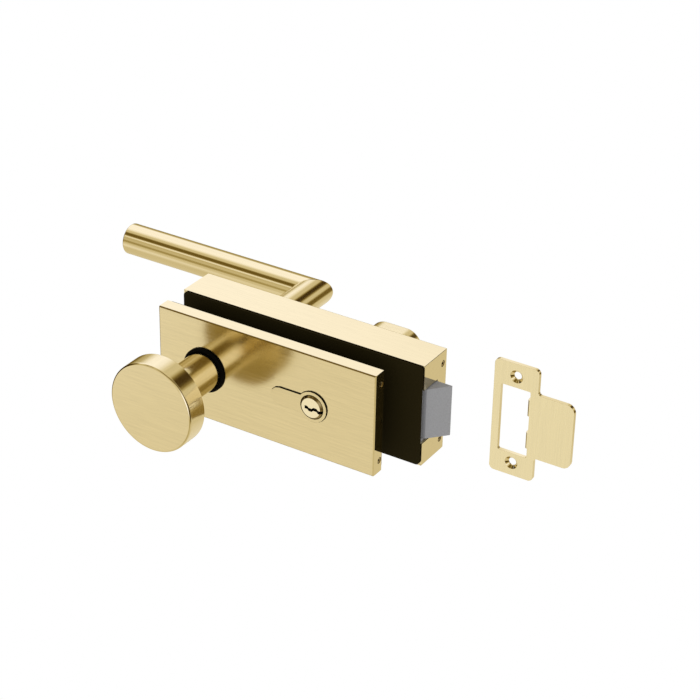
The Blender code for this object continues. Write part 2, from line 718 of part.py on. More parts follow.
def make_lever(gold, nylon, steel, axis):
    """Everything that turns with the lever, measured from the spindle axis."""
    neck_end = BUSH_FACE_Y + GAP
    journal_end = LID_Y1 + 3 * GAP
    socket_end = neck_end + SPINDLE_IN_LEVER + GAP
    around = [2 * math.pi * i / ROUND for i in range(ROUND)]

    def grip(radius, x, slope):
        return [
            (x + slope * radius * math.cos(a), LEVER_AXIS_Y + radius * math.cos(a), radius * math.sin(a))
            for a in around
        ]

    def neck(radius, y, slope):
        return [
            (radius * math.cos(a), y + slope * radius * math.cos(a), radius * math.sin(a)) for a in around
        ]

    free = -LEVER_LENGTH
    loops = [
        grip(LEVER_RADIUS - LEVER_EDGE, free, 0),
        grip(LEVER_RADIUS, free + LEVER_EDGE, 0),
        grip(LEVER_RADIUS, -MITRE_GROOVE, 1),
        grip(LEVER_RADIUS - MITRE_GROOVE, 0, 1),
        neck(LEVER_RADIUS, LEVER_AXIS_Y - MITRE_GROOVE, 1),
        neck(LEVER_RADIUS, neck_end + LEVER_EDGE / 2, 0),
        neck(LEVER_RADIUS - LEVER_EDGE / 2, neck_end, 0),
        neck(LEVER_JOURNAL_RADIUS, neck_end, 0),
        neck(LEVER_JOURNAL_RADIUS, journal_end, 0),
        polygon_ring(SPINDLE_WIDTH + 2 * GAP, 4, journal_end, ROUND),
        polygon_ring(SPINDLE_WIDTH + 2 * GAP, 4, socket_end, ROUND),
    ]
    lever = piece("lever_handle", loft(loops), gold, parent=axis)
    screw_y = neck_end + LEVER_GRUB_FROM_BUSH
    screw_end = -SPINDLE_WIDTH / 2 - GAP
    screw_start = -LEVER_RADIUS + 2 * GAP
    hole = along_z(rod(LEVER_GRUB_RADIUS + GAP, -LEVER_RADIUS - SHEET, screw_end + 3 * GAP), 0, screw_y, 0)
    combine(lever, hole, "DIFFERENCE")
    screw = grub_screw(LEVER_GRUB_RADIUS, screw_end - screw_start)
    screw.transform(Matrix.Rotation(math.pi, 4, "X"))
    piece("lever_grub_screw", along_z(screw), steel, (0, screw_y, screw_start), axis)
    half = SPINDLE_WIDTH / 2
    square = prism(fillet([(-half, -half), (half, -half), (half, half), (-half, half)], [GAP] * 4, 1),
                   BASE_Y + GAP, neck_end + SPINDLE_IN_LEVER)
    piece("spindle", square, steel, parent=axis)


def make_lever_bush(nylon):
    bore = LEVER_JOURNAL_RADIUS + TURNING_GAP
    wall = CASE_REAR_Y - SHEET
    profile = [
        (COLLAR_RADIUS, CASE_REAR_Y + GAP),
        (COLLAR_RADIUS, BUSH_FACE_Y - COLLAR_CHAMFER),
        (COLLAR_RADIUS - COLLAR_CHAMFER, BUSH_FACE_Y),
        (bore, BUSH_FACE_Y),
        (bore, wall - SHEET),
        (COLLAR_SPIGOT_RADIUS, wall - SHEET),
        (COLLAR_SPIGOT_RADIUS, CASE_REAR_Y + GAP),
    ]
    piece("lever_bush", turned(profile, FINE, closed=True), nylon, (SPINDLE_X, 0, 0))


def arm(reach, radius, turn, y0, y1):
    """A round-ended arm from the spindle axis, pointing up before it is turned."""
    outline = [(-radius, 0)] + arc(0, reach, radius, 180, 0, 10) + [(radius, 0)]
    limb = prism(outline, y0, y1)
    limb.transform(Matrix.Rotation(turn, 4, "Y"))
    return limb


def make_follower(steel, axis):
    """The hub that the spindle turns: one arm draws the latch, the other works against a spring."""
    bottom = BASE_Y + GAP
    top = LID_Y0 - GAP
    profile = [
        (FOLLOWER_JOURNAL_RADIUS, CASE_EDGE_Y + GAP),
        (FOLLOWER_JOURNAL_RADIUS, bottom),
        (FOLLOWER_RADIUS, bottom),
        (FOLLOWER_RADIUS, top),
        (FOLLOWER_JOURNAL_RADIUS, top),
        (FOLLOWER_JOURNAL_RADIUS, LID_Y1),
    ]
    hub = piece("follower", turned(profile, ROUND), steel, parent=axis)
    arm_ends = (BAR_MID_Y - FOLLOWER_ARM_WIDTH / 2, BAR_MID_Y + FOLLOWER_ARM_WIDTH / 2)
    for turn in (0, math.pi):
        combine(hub, arm(FOLLOWER_ARM_REACH, FOLLOWER_ARM_RADIUS, turn, *arm_ends), "UNION")
    half = SPINDLE_WIDTH / 2 + GAP
    combine(hub, block(-half, half, -SHEET, LID_Y1 + SHEET, -half, half), "DIFFERENCE")


def make_rear_cover(gold):
    cover = piece("rear_cover", folded_tray(CASE_X0, CASE_X1, CASE_REAR_Y, CASE_EDGE_Y), gold)
    through = (CASE_REAR_Y - 2 * SHEET, CASE_REAR_Y + SHEET)
    bush_hole = rod(COLLAR_SPIGOT_RADIUS + GAP, *through, FINE, SPINDLE_X)
    profile_hole = prism([(CYLINDER_X + x, z) for x, z in profile_outline(GAP)], *through)
    screw_y = CASE_REAR_Y - GRUB_FROM_CASE_REAR
    grub_holes = [
        along_x(rod(GRUB_RADIUS + GAP, -2 * SHEET, 2 * SHEET), x, screw_y, side * GRUB_SPREAD / 2)
        for x in (CASE_X0, CASE_X1)
        for side in (1, -1)
    ]
    latch_notch = block(
        CASE_X1 - 2 * SHEET, CASE_X1 + SHEET,
        CASE_EDGE_Y - SHEET, LATCH_Y1 + GAP,
        -LATCH_HEIGHT / 2 - GAP - LATCH_NOTCH_BELOW, LATCH_HEIGHT / 2 + GAP + LATCH_NOTCH_ABOVE,
    )
    slits = corner_slits(CASE_X0, CASE_X1, CASE_REAR_Y, CASE_EDGE_Y)
    combine(cover, join([bush_hole, profile_hole, latch_notch] + grub_holes + slits), "DIFFERENCE")


def works_tray():
    outer = rounded(WORKS_X0, WORKS_X1, -WORKS_TOP, WORKS_TOP, PAD_CORNER)
    inner = rounded(
        WORKS_X0 + END_WALL, WORKS_X1 - END_WALL,
        -WORKS_TOP + SIDE_WALL, WORKS_TOP - SIDE_WALL, PAD_CORNER,
    )
    levels = [(outer, CASE_EDGE_Y), (outer, WORKS_REAR_Y), (inner, WORKS_REAR_Y), (inner, BASE_Y)]
    return loft([[(x, y, z) for x, z in outline] for outline, y in levels])


def latch_spring_post_x():
    return CYLINDER_X + PROFILE_RADIUS + 3 * GAP


def follower_spring_ends():
    start = SPINDLE_X + FOLLOWER_ARM_RADIUS + GAP
    swing = FOLLOWER_ARM_REACH * math.sin(LEVER_SWING)
    return start, start + swing + 4 * SPRING_PITCH


def carriage_spring_ends():
    end = CYLINDER_X - CARRIAGE_BEHIND_CYLINDER - GAP
    return end - CARRIAGE_TRAVEL - 5 * SPRING_PITCH, end


def carriage_spring_z():
    return PITCH_RADIUS + GEAR_MODULE + SMALL_SPRING_RADIUS + SPRING_WIRE


def guide_post_place():
    x = CYLINDER_X - CARRIAGE_BEHIND_CYLINDER + 4 * GUIDE_POST_RADIUS
    z = PITCH_RADIUS + CARRIAGE_HEIGHT - 2 * GUIDE_POST_RADIUS - GAP
    return x, z


def works_fittings():
    """Bosses, posts and ribs that stand up from the base of the chassis."""
    sunk = BASE_Y - BASE_THICK / 2
    post_top = LID_Y0 - GAP
    shapes = [
        rod(CLAMP_SCREW_RADIUS + GAP + BOSS_WALL, sunk, BASE_Y + BOSS_HEIGHT, SMALL, x, z)
        for x, z in CLAMP_SPOTS
    ]
    shapes += [rod(LID_POST_RADIUS, sunk, post_top, SMALL, x, z) for x, z in LID_SPOTS]
    guide_x, guide_z = guide_post_place()
    shapes.append(rod(GUIDE_POST_RADIUS, sunk, post_top, SMALL, guide_x, guide_z))
    latch_post = latch_spring_post_x()
    half = LATCH_SPRING_RADIUS + SPRING_WIRE
    mid_y = (LATCH_Y0 + LATCH_Y1) / 2
    shapes.append(block(latch_post, latch_post + SPRING_POST_THICK, sunk, mid_y + half, -half, half))
    follower_end = follower_spring_ends()[1]
    half = SMALL_SPRING_RADIUS + SPRING_WIRE
    low = -FOLLOWER_ARM_REACH
    shapes.append(block(follower_end + GAP, follower_end + GAP + SPRING_POST_THICK,
                        sunk, BAR_MID_Y + half, low - half, low + half))
    carriage_end = carriage_spring_ends()[0]
    high = carriage_spring_z()
    shapes.append(block(carriage_end - GAP - SPRING_POST_THICK, carriage_end - GAP,
                        sunk, BAR_MID_Y + half, high - half, high + half))
    rib_x = (LID_SPOTS[1][0] - LID_POST_RADIUS, LID_SPOTS[1][0] + LID_POST_RADIUS)
    shapes.append(block(*rib_x, sunk, post_top, BAR_Z1 + GAP, WORKS_TOP - SIDE_WALL / 2))
    return shapes


def make_chassis(zinc):
    chassis = piece("chassis", works_tray(), zinc)
    combine(chassis, join(works_fittings()), "UNION")
    boss_radius = BRIDGE_HEAD_RADIUS + BOSS_WALL
    screw_boss = rod(boss_radius, -WORKS_TOP + SIDE_WALL / 2, -LEG_WIDTH / 2 - BOSS_HEIGHT, ROUND)
    combine(chassis, along_z(screw_boss, BRIDGE_SCREW_X, SLOT_MID_Y), "UNION")
    through = (CASE_EDGE_Y - SHEET, BASE_Y + SHEET)
    cuts = [
        prism([(CYLINDER_X + x, z) for x, z in profile_outline(GAP)], *through),
        rod(FOLLOWER_JOURNAL_RADIUS + TURNING_GAP, *through, ROUND, SPINDLE_X),
        block(WORKS_X1 - 2 * END_WALL, WORKS_X1 + SHEET, BASE_Y, LATCH_Y1 + GAP,
              -LATCH_HEIGHT / 2 - GAP, LATCH_HEIGHT / 2 + GAP),
    ]
    cuts += clamp_holes(CLAMP_SCREW_RADIUS + GAP, CASE_EDGE_Y - SHEET, BASE_Y + BOSS_HEIGHT + SHEET)
    hole_bottom = LID_Y0 - GAP - 4 * LID_SCREW_RADIUS - GAP
    cuts += [rod(LID_SCREW_RADIUS + GAP, hole_bottom, LID_Y0 + SHEET, SMALL, x, z) for x, z in LID_SPOTS]
    screw_y = CASE_REAR_Y - GRUB_FROM_CASE_REAR
    for x in (WORKS_X0, WORKS_X1):
        for side in (1, -1):
            hole = rod(GRUB_RADIUS + GAP, -END_WALL - SHEET, END_WALL + SHEET)
            cuts.append(along_x(hole, x, screw_y, side * GRUB_SPREAD / 2))
    head_end = -WORKS_TOP + BRIDGE_HEAD_THICK + 2 * GAP
    bridge_hole = [
        (BRIDGE_HEAD_RADIUS + GAP, -WORKS_TOP - SHEET),
        (BRIDGE_HEAD_RADIUS + GAP, head_end),
        (BRIDGE_SCREW_RADIUS + GAP, head_end),
        (BRIDGE_SCREW_RADIUS + GAP, 0.0),
    ]
    cuts.append(along_z(turned(bridge_hole, SMALL), BRIDGE_SCREW_X, SLOT_MID_Y))
    combine(chassis, join(cuts), "DIFFERENCE")


def make_chassis_lid(steel):
    outline = rounded(
        WORKS_X0 + END_WALL + GAP, WORKS_X1 - END_WALL - GAP,
        -WORKS_TOP + SIDE_WALL + GAP, WORKS_TOP - SIDE_WALL - GAP, PAD_CORNER,
    )
    lid = piece("chassis_lid", prism(outline, LID_Y0, LID_Y1), steel)
    ends = (LID_Y0 - SHEET, LID_Y1 + SHEET)
    cuts = [
        rod(FOLLOWER_JOURNAL_RADIUS + TURNING_GAP, *ends, ROUND, SPINDLE_X),
        prism([(CYLINDER_X + x, z) for x, z in profile_outline(GAP)], *ends),
    ]
    cuts += [rod(LID_SCREW_RADIUS + GAP, *ends, SMALL, x, z) for x, z in LID_SPOTS]
    combine(lid, join(cuts), "DIFFERENCE")


def make_lid_screws(steel):
    seat = LID_Y1 + GAP
    tip = LID_Y0 - GAP - 4 * LID_SCREW_RADIUS
    profile = [
        (LID_SCREW_RADIUS, tip),
        (LID_SCREW_RADIUS, seat),
        (LID_HEAD_RADIUS, seat),
        (LID_HEAD_RADIUS - GAP, seat + LID_HEAD_THICK),
    ]
    for number, (x, z) in enumerate(LID_SPOTS, 1):
        screw = socket_screw(profile, LID_SOCKET_WIDTH, LID_SOCKET_DEPTH)
        piece(f"lid_screw_{number}", screw, steel, (x, 0, z))


def latch_outline():
    """The latch seen from above, as (x, y): a wedge whose sloping face meets the glass side."""
    return [
        (LATCH_REAR_X, LATCH_Y0),
        (CASE_X1, LATCH_Y0),
        (CASE_X1 + LATCH_PROUD, LATCH_Y1 - LATCH_NOSE),
        (CASE_X1 + LATCH_PROUD, LATCH_Y1),
        (LATCH_REAR_X, LATCH_Y1),
    ]


def make_latch(zinc, steel, slide):
    half = LATCH_HEIGHT / 2
    loops = [[(x, y, z) for x, y in latch_outline()] for z in (-half, half)]
    bolt = piece("latch_bolt", loft(loops), zinc, parent=slide)
    mid_y = (LATCH_Y0 + LATCH_Y1) / 2
    spring_bore = rod(LATCH_SPRING_RADIUS + SPRING_WIRE + GAP, -SHEET, LATCH_SPRING_IN_BOLT, SMALL)
    pin_bore = rod(LATCH_PIN_RADIUS + GAP, -SHEET, LATCH_PIN_LENGTH)
    bores = [along_x(spring_bore, LATCH_REAR_X, mid_y), along_x(pin_bore, LATCH_REAR_X, BAR_MID_Y, pin_z())]
    combine(bolt, join(bores), "DIFFERENCE")
    pin_start = LATCH_REAR_X - GAP - BAR_FOOT_THICK - 2 * GAP
    pin_end = LATCH_REAR_X + LATCH_PIN_LENGTH - GAP
    pin = rod(LATCH_PIN_RADIUS, 0, pin_end - pin_start)
    piece("latch_pin", along_x(pin), steel, (pin_start, BAR_MID_Y, pin_z()), slide)
    bar = piece("draw_bar", prism(bar_outline(), BAR_Y0, BAR_Y1), steel, parent=slide)
    hole = rod(LATCH_PIN_RADIUS + GAP, -BAR_FOOT_THICK - SHEET, SHEET)
    combine(bar, along_x(hole, LATCH_REAR_X - GAP, BAR_MID_Y, pin_z()), "DIFFERENCE")


def pin_z():
    return BAR_Z1 - BAR_FOOT_DROP


def bar_outline():
    """A flat bar: a hook over the follower's arm, a lug for the carriage, and a foot at the latch."""
    hook_x1 = SPINDLE_X - FOLLOWER_ARM_RADIUS - BAR_HOOK_PLAY
    hook_x0 = hook_x1 - BAR_HOOK_THICK
    lug_x1 = CYLINDER_X - CARRIAGE_BEHIND_CYLINDER - GAP
    lug_x0 = lug_x1 - BAR_LUG_THICK
    foot_x1 = LATCH_REAR_X - GAP
    foot_x0 = foot_x1 - BAR_FOOT_THICK
    foot_z = pin_z() - 3 * LATCH_PIN_RADIUS
    return [
        (hook_x0, BAR_Z1), (hook_x0, BAR_Z0 - BAR_HOOK_DROP), (hook_x1, BAR_Z0 - BAR_HOOK_DROP),
        (hook_x1, BAR_Z0), (lug_x0, BAR_Z0), (lug_x0, BAR_Z0 - BAR_LUG_DROP),
        (lug_x1, BAR_Z0 - BAR_LUG_DROP), (lug_x1, BAR_Z0), (foot_x0, BAR_Z0),
        (foot_x0, foot_z), (foot_x1, foot_z), (foot_x1, BAR_Z1),
    ]


def make_carriage(brass, slide):
    outline = [(CYLINDER_X + x, z) for x, z in rack_outline()]
    y0 = BAR_Y0
    y1 = BAR_Y0 + CARRIAGE_WIDTH
    carriage = piece("draw_carriage", prism(outline, y0, y1), brass, parent=slide)
    post_x, post_z = guide_post_place()
    half = GUIDE_POST_RADIUS + GAP
    slot = arc(post_x, post_z, half, 90, 270, 6) + arc(post_x + CARRIAGE_TRAVEL, post_z, half, -90, 90, 6)
    combine(carriage, prism(slot, y0 - SHEET, y1 + SHEET), "DIFFERENCE")


def pin_rows():
    first = COVER_FACE_Y + FIRST_PIN_FROM_FACE
    return [first + PIN_PITCH * i for i in range(PIN_COUNT)]


def make_cylinder(brass, steel):
    euro_bar = prism(profile_outline(), COVER_FACE_Y, CYLINDER_REAR_Y)
    body = piece("cylinder_body", euro_bar, brass, (CYLINDER_X, 0, 0))
    bore = PLUG_RADIUS + TURNING_GAP
    plug_bore = rod(bore, COVER_FACE_Y - SHEET, SLOT_Y0 + GAP, FINE)
    shaft_bore = rod(TURN_SHAFT_RADIUS + TURNING_GAP, SLOT_Y1 - GAP, CYLINDER_REAR_Y + SHEET, SMALL)
    past = PROFILE_HEIGHT
    slot = block(-CAM_SLOT_REACH, past, SLOT_Y0, SLOT_Y1, -past, past)
    combine(body, slot, "DIFFERENCE")
    bridge_hole = along_z(rod(BRIDGE_SCREW_RADIUS + GAP, -past, past), -LEG_END_REACH, SLOT_MID_Y)
    combine(body, join([plug_bore, shaft_bore, bridge_hole]), "DIFFERENCE")
    chamber_end = PLUG_RADIUS + PIN_CHAMBER_LENGTH
    chambers = [
        along_x(rod(PIN_RADIUS + GAP, -chamber_end, -PLUG_RADIUS / 2, PIN_SIDES), 0, y)
        for y in pin_rows()
    ]
    combine(body, join(chambers), "DIFFERENCE")
    head_z = -WORKS_TOP + GAP
    seat_z = head_z + BRIDGE_HEAD_THICK
    profile = [
        (BRIDGE_SCREW_RADIUS * SCREW_TIP, LEG_WIDTH / 2 - GAP),
        (BRIDGE_SCREW_RADIUS, LEG_WIDTH / 2 - 3 * GAP),
        (BRIDGE_SCREW_RADIUS, seat_z),
        (BRIDGE_HEAD_RADIUS, seat_z),
        (BRIDGE_HEAD_RADIUS, head_z),
    ]
    screw = socket_screw(profile, BRIDGE_SOCKET_WIDTH, BRIDGE_SOCKET_DEPTH)
    piece("cylinder_screw", along_z(screw), steel, (BRIDGE_SCREW_X, SLOT_MID_Y, 0))
    for number, y in enumerate(pin_rows(), 1):
        pin = rod(PIN_RADIUS, 0, DRIVER_PIN_LENGTH, PIN_SIDES)
        start = CYLINDER_X - PLUG_RADIUS - GAP - TURNING_GAP / 2 - DRIVER_PIN_LENGTH
        piece(f"driver_pin_{number}", along_x(pin), steel, (start, y, 0))


def keyway_outline():
    """A waved slot that runs out at the plug's right side."""
    half = KEYWAY_WIDTH / 2
    wave = half / 2
    right = 2 * PLUG_RADIUS
    steps = [0.0, 0.16, 0.24, 0.42, 0.50, 0.70, 0.78, 1.0]
    sides = [1, 1, -1, -1, 1, 1, -1, -1]
    middle = [
        (-KEYWAY_LEFT + (PLUG_RADIUS + KEYWAY_LEFT) * s, -KEYWAY_DROP + wave * side)
        for s, side in zip(steps, sides)
    ]
    middle.append((right, middle[-1][1]))
    return [(x, z + half) for x, z in middle] + [(x, z - half) for x, z in reversed(middle)]


def make_key_plug(brass, steel, axis):
    front = COVER_FACE_Y - PLUG_PROUD
    rear = SLOT_Y0 - GAP
    profile = [
        (PLUG_RADIUS - PLUG_EDGE, front),
        (PLUG_RADIUS, front + PLUG_EDGE),
        (PLUG_RADIUS, rear),
    ]
    plug = piece("key_plug", turned(profile, FINE), brass, parent=axis)
    combine(plug, prism(keyway_outline(), front - SHEET, rear + SHEET), "DIFFERENCE")
    holes = [
        along_x(rod(PIN_RADIUS + GAP, -PLUG_RADIUS - SHEET, -KEY_PIN_REACH, PIN_SIDES), 0, y)
        for y in pin_rows()
    ]
    combine(plug, join(holes), "DIFFERENCE")
    length = PLUG_RADIUS - GAP - KEY_PIN_REACH
    for number, y in enumerate(pin_rows(), 1):
        profile = [(PIN_RADIUS, 0), (PIN_RADIUS, length - PIN_RADIUS), (PIN_RADIUS / 2, length - 2 * GAP)]
        pin = along_x(turned(profile, PIN_SIDES))
        piece(f"key_pin_{number}", pin, steel, (-PLUG_RADIUS + GAP, y, 0), axis)


def make_thumb_turn(gold, brass, steel, axis):
    end = CASE_REAR_Y + TURN_REACH
    start = end - TURN_GRIP_DEPTH
    neck_start = CYLINDER_REAR_Y + GAP
    half_width = TURN_WIDTH / 2
    half = TURN_HEIGHT / 2

    def oval(inset, y):
        radius = half - inset
        reach = half_width - half
        outline = arc(reach, 0, radius, -90, 90, 16) + arc(-reach, 0, radius, 90, 270, 16)
        return [(x, y, z) for x, z in outline]

    loops = [
        oval(TURN_EDGE, start),
        oval(0, start + TURN_EDGE),
        oval(0, end - TURN_EDGE),
        oval(TURN_EDGE, end),
    ]
    turn = piece("thumb_turn", loft(loops), gold, parent=axis)
    neck = turned([(TURN_NECK_RADIUS, neck_start), (TURN_NECK_RADIUS, start + TURN_GRIP_DEPTH / 4)], FINE)
    combine(turn, neck, "UNION")
    shaft_end = start + TURN_GRIP_DEPTH / 2
    bore = rod(TURN_SHAFT_RADIUS + GAP, neck_start - SHEET, shaft_end + GAP, SMALL)
    combine(turn, bore, "DIFFERENCE")
    gear_y0 = SLOT_Y0 + GAP
    gear_y1 = SLOT_Y1 - GAP
    shaft = turned([(TURN_SHAFT_RADIUS, gear_y0 + GAP), (TURN_SHAFT_RADIUS, shaft_end)], SMALL)
    piece("turn_shaft", shaft, steel, parent=axis)
    gear = piece("cam_gear", prism(gear_outline(), gear_y0, gear_y1), brass, parent=axis)
    combine(gear, rod(TURN_SHAFT_RADIUS + GAP, gear_y0 - SHEET, gear_y1 + SHEET, SMALL), "DIFFERENCE")


def make_springs(wire):
    mid_y = (LATCH_Y0 + LATCH_Y1) / 2
    latch_start = latch_spring_post_x() + SPRING_POST_THICK + GAP
    latch_end = LATCH_REAR_X + LATCH_SPRING_IN_BOLT - GAP
    coil_spring("latch_spring", LATCH_SPRING_RADIUS, latch_start, latch_end, mid_y, 0, wire)
    start, end = follower_spring_ends()
    coil_spring("follower_spring", SMALL_SPRING_RADIUS, start, end, BAR_MID_Y, -FOLLOWER_ARM_REACH, wire)
    start, end = carriage_spring_ends()
    coil_spring("carriage_spring", SMALL_SPRING_RADIUS, start, end, BAR_MID_Y, carriage_spring_z(), wire)


def strike_outline(x0):
    x1 = x0 + STRIKE_WIDTH
    x2 = x0 + STRIKE_LIP_REACH
    top = STRIKE_HEIGHT / 2
    lip = STRIKE_LIP_HEIGHT / 2
    corners = [(x0, -top), (x1, -top), (x1, -lip), (x2, -lip), (x2, lip), (x1, lip), (x1, top), (x0, top)]
    outer = STRIKE_CORNER
    inner = STRIKE_INNER_CORNER
    tip = STRIKE_LIP_CORNER
    return fillet(corners, [outer, outer, inner, tip, tip, inner, outer, outer])


def tongue(edge_x, y0, side):
    """A tongue bent back from the right edge of the latch opening."""
    thick = STRIKE_TONGUE_THICK
    y1 = y0 + STRIKE_THICK
    bend = arc(edge_x, y0 + thick, thick, 270, 180, 5)
    outline = [(edge_x + GAP, y0)] + bend + [(edge_x - thick, y1 + STRIKE_TONGUE_DEPTH)]
    outline += [(edge_x - GAP / 2, y1 + STRIKE_TONGUE_DEPTH), (edge_x + GAP, y1)]
    middle = side * (STRIKE_OPENING_TOP - STRIKE_TONGUE_FROM_END)
    low = middle - STRIKE_TONGUE_HEIGHT / 2
    high = middle + STRIKE_TONGUE_HEIGHT / 2
    return loft([[(x, y, z) for x, y in outline] for z in (low, high)])


def make_strike_plate(gold):
    x0 = CASE_X1 + STRIKE_FROM_CASE
    y0 = CASE_REAR_Y
    y1 = y0 + STRIKE_THICK
    plate = piece("strike_plate", prism(strike_outline(x0), y0, y1), gold)
    middle = x0 + STRIKE_WIDTH / 2
    open_x0 = middle - STRIKE_OPENING_WIDTH / 2
    open_x1 = middle + STRIKE_OPENING_WIDTH / 2
    low = -STRIKE_OPENING_TOP - STRIKE_OPENING_DROP
    high = STRIKE_OPENING_TOP - STRIKE_OPENING_DROP
    opening = rounded(open_x0, open_x1, low, high, STRIKE_INNER_CORNER / 2, 3)
    cuts = [prism(opening, y0 - SHEET, y1 + SHEET)]
    sink = STRIKE_SINK_RADIUS - STRIKE_HOLE_RADIUS
    for side in (1, -1):
        profile = [
            (STRIKE_SINK_RADIUS + SHEET, y0 - SHEET),
            (STRIKE_SINK_RADIUS, y0),
            (STRIKE_HOLE_RADIUS, y0 + sink),
            (STRIKE_HOLE_RADIUS, y1 + SHEET),
        ]
        place = (middle, side * STRIKE_HOLE_Z)
        cuts.append(loft([circle(radius, y, ROUND, *place) for radius, y in profile]))
    combine(plate, join(cuts), "DIFFERENCE")
    for side in (1, -1):
        combine(plate, tongue(open_x1, y0, side), "UNION")


def main():
    clear_scene()
    gold = finish("brushed_gold", (0.72, 0.56, 0.29), 1.0, 0.32)
    steel = finish("bright_steel", (0.60, 0.60, 0.61), 1.0, 0.30)
    zinc = finish("grey_zinc", (0.33, 0.33, 0.34), 0.6, 0.50)
    brass = finish("turned_brass", (0.78, 0.64, 0.36), 1.0, 0.25)
    rubber = finish("black_rubber", (0.012, 0.011, 0.009), 0.0, 0.70)
    nylon = finish("black_nylon", (0.010, 0.010, 0.010), 0.0, 0.55)

    lever_axis = axis_empty("lever_axis", (SPINDLE_X, 0, 0))
    turn_axis = axis_empty("thumb_turn_axis", (CYLINDER_X, 0, 0))
    plug_axis = axis_empty("key_plug_axis", (CYLINDER_X, 0, 0))
    carriage_slide = axis_empty("carriage_slide", (0, 0, 0))
    latch_slide = axis_empty("latch_slide", (0, 0, 0), carriage_slide)

    make_front_cover(gold)
    make_front_clamp_plate(steel)
    make_pad("front_pad", COVER_X0, COVER_X1, -GLASS - PAD_THICK, rubber)
    make_cover_screws("front_cover", COVER_X0, COVER_X1, COVER_EDGE_Y - GRUB_FROM_COVER_EDGE, steel)
    make_clamp_screws(steel, nylon)
    make_knob(gold, nylon, steel)
    make_pad("rear_pad", CASE_X0, CASE_X1, 0.0, rubber)
    make_chassis(zinc)
    make_chassis_lid(steel)
    make_lid_screws(steel)
    make_rear_cover(gold)
    make_cover_screws("rear_cover", CASE_X0, CASE_X1, CASE_REAR_Y - GRUB_FROM_CASE_REAR, steel)
    make_lever_bush(nylon)
    make_lever(gold, nylon, steel, lever_axis)
    make_follower(steel, lever_axis)
    make_latch(zinc, steel, latch_slide)
    make_carriage(brass, carriage_slide)
    make_cylinder(brass, steel)
    make_key_plug(brass, steel, plug_axis)
    make_thumb_turn(gold, brass, steel, turn_axis)
    make_springs(steel)
    make_strike_plate(gold)


main()
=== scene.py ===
"""Looks for the glass door lock: brushed gold covers, turned knob, bent lever, matte grey latch."""

import json
import math

import bmesh
import bpy
from mathutils import Matrix, Vector


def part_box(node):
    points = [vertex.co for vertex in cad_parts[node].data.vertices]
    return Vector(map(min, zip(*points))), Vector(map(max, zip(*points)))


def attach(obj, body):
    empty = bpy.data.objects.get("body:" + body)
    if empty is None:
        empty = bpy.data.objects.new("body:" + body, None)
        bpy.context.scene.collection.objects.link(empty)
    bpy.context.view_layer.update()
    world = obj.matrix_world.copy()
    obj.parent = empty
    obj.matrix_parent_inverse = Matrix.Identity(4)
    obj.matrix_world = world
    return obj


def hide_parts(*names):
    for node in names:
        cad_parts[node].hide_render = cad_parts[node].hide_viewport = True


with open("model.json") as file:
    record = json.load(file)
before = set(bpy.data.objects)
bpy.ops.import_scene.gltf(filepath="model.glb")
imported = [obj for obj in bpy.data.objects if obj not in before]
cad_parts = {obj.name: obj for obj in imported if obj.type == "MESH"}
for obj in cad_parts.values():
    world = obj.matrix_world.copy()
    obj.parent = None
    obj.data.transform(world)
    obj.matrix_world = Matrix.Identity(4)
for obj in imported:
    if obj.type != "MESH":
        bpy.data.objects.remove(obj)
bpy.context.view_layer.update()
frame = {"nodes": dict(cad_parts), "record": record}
nodes = frame["nodes"]

# Camera, worked out from the photo
EYE = Vector((0.51655, -0.7780, 0.5385))
YAW = math.radians(31.4255)        # towards +X from straight in front
PITCH = math.radians(29.3832)      # above the horizon
ROLL = math.radians(1.193)
FOCAL_PIXELS = 2109.6
FRAME_PIXELS = 700
SENSOR = 36.0

FLOOR_DROP = 1.2                   # the lock hangs on a glass door, well above the floor
FLOOR_SIDE = 20.0

WELD = 1e-6
MERGE_ANGLE = math.radians(0.3)    # faces this close to one plane become one
FRONT = 0.95                       # a front's or a back's normal lies more than this along Y
FOLD = (0.3, 0.95)                 # a fold's lies between these, and a cover's wall's under them
CORNER_ROUND = 0.0003              # off the covers' corners
CRISP = math.radians(20)           # in the modelled pieces, edges that bend more than this stay crisp
SHARP = math.radians(32)           # the same in the solids' copies
ROUND_STEPS = 128                  # round a knob, a tube or a ring
EDGE_STEPS = 6                     # over a rounded edge
EDGE_MARGIN = 1 / 8                # of a rounding, kept flat on either side of it for the shading
SHOWN_EDGES = {                    # solids seen from outside, with the rounding of their sharp edges
    "front_cover": 0.0,
    "rear_cover": 0.0,
    "strike_plate": 0.0003,
    "latch_bolt": 0.00015,
    "key_plug": 0.0,
    "cylinder_body": 0.0001,
    "front_pad": 0.0,
    "rear_pad": 0.0,
}

# Sizes of the modelled pieces that their solids' boxes don't give
KNOB_THICK = 0.0120
KNOB_NECK_RADIUS = 0.0105
KNOB_EDGE = 0.0010
NECK_IN_COLLAR = 0.0012            # the knob's neck ends this deep in its collar's recess
COLLAR_EDGE = 0.0006
CYLINDER_PROUD = 0.0008            # the cylinder stands this far out of the cover, up to the plug's edge
SPIGOT_RADIUS = 0.0099
LEVER_EDGE = 0.0007
LEVER_JOURNAL_RADIUS = 0.0068
MITRE_GROOVE = 0.0003
GRUB_HOLE_RADIUS = 0.0028
TURN_DEPTH = 0.0140
TURN_EDGE = 0.0006
TURN_NECK_RADIUS = 0.0080
SMALL_EDGE = 0.0003
CLEAR = 0.0003                     # room round a piece that goes into another

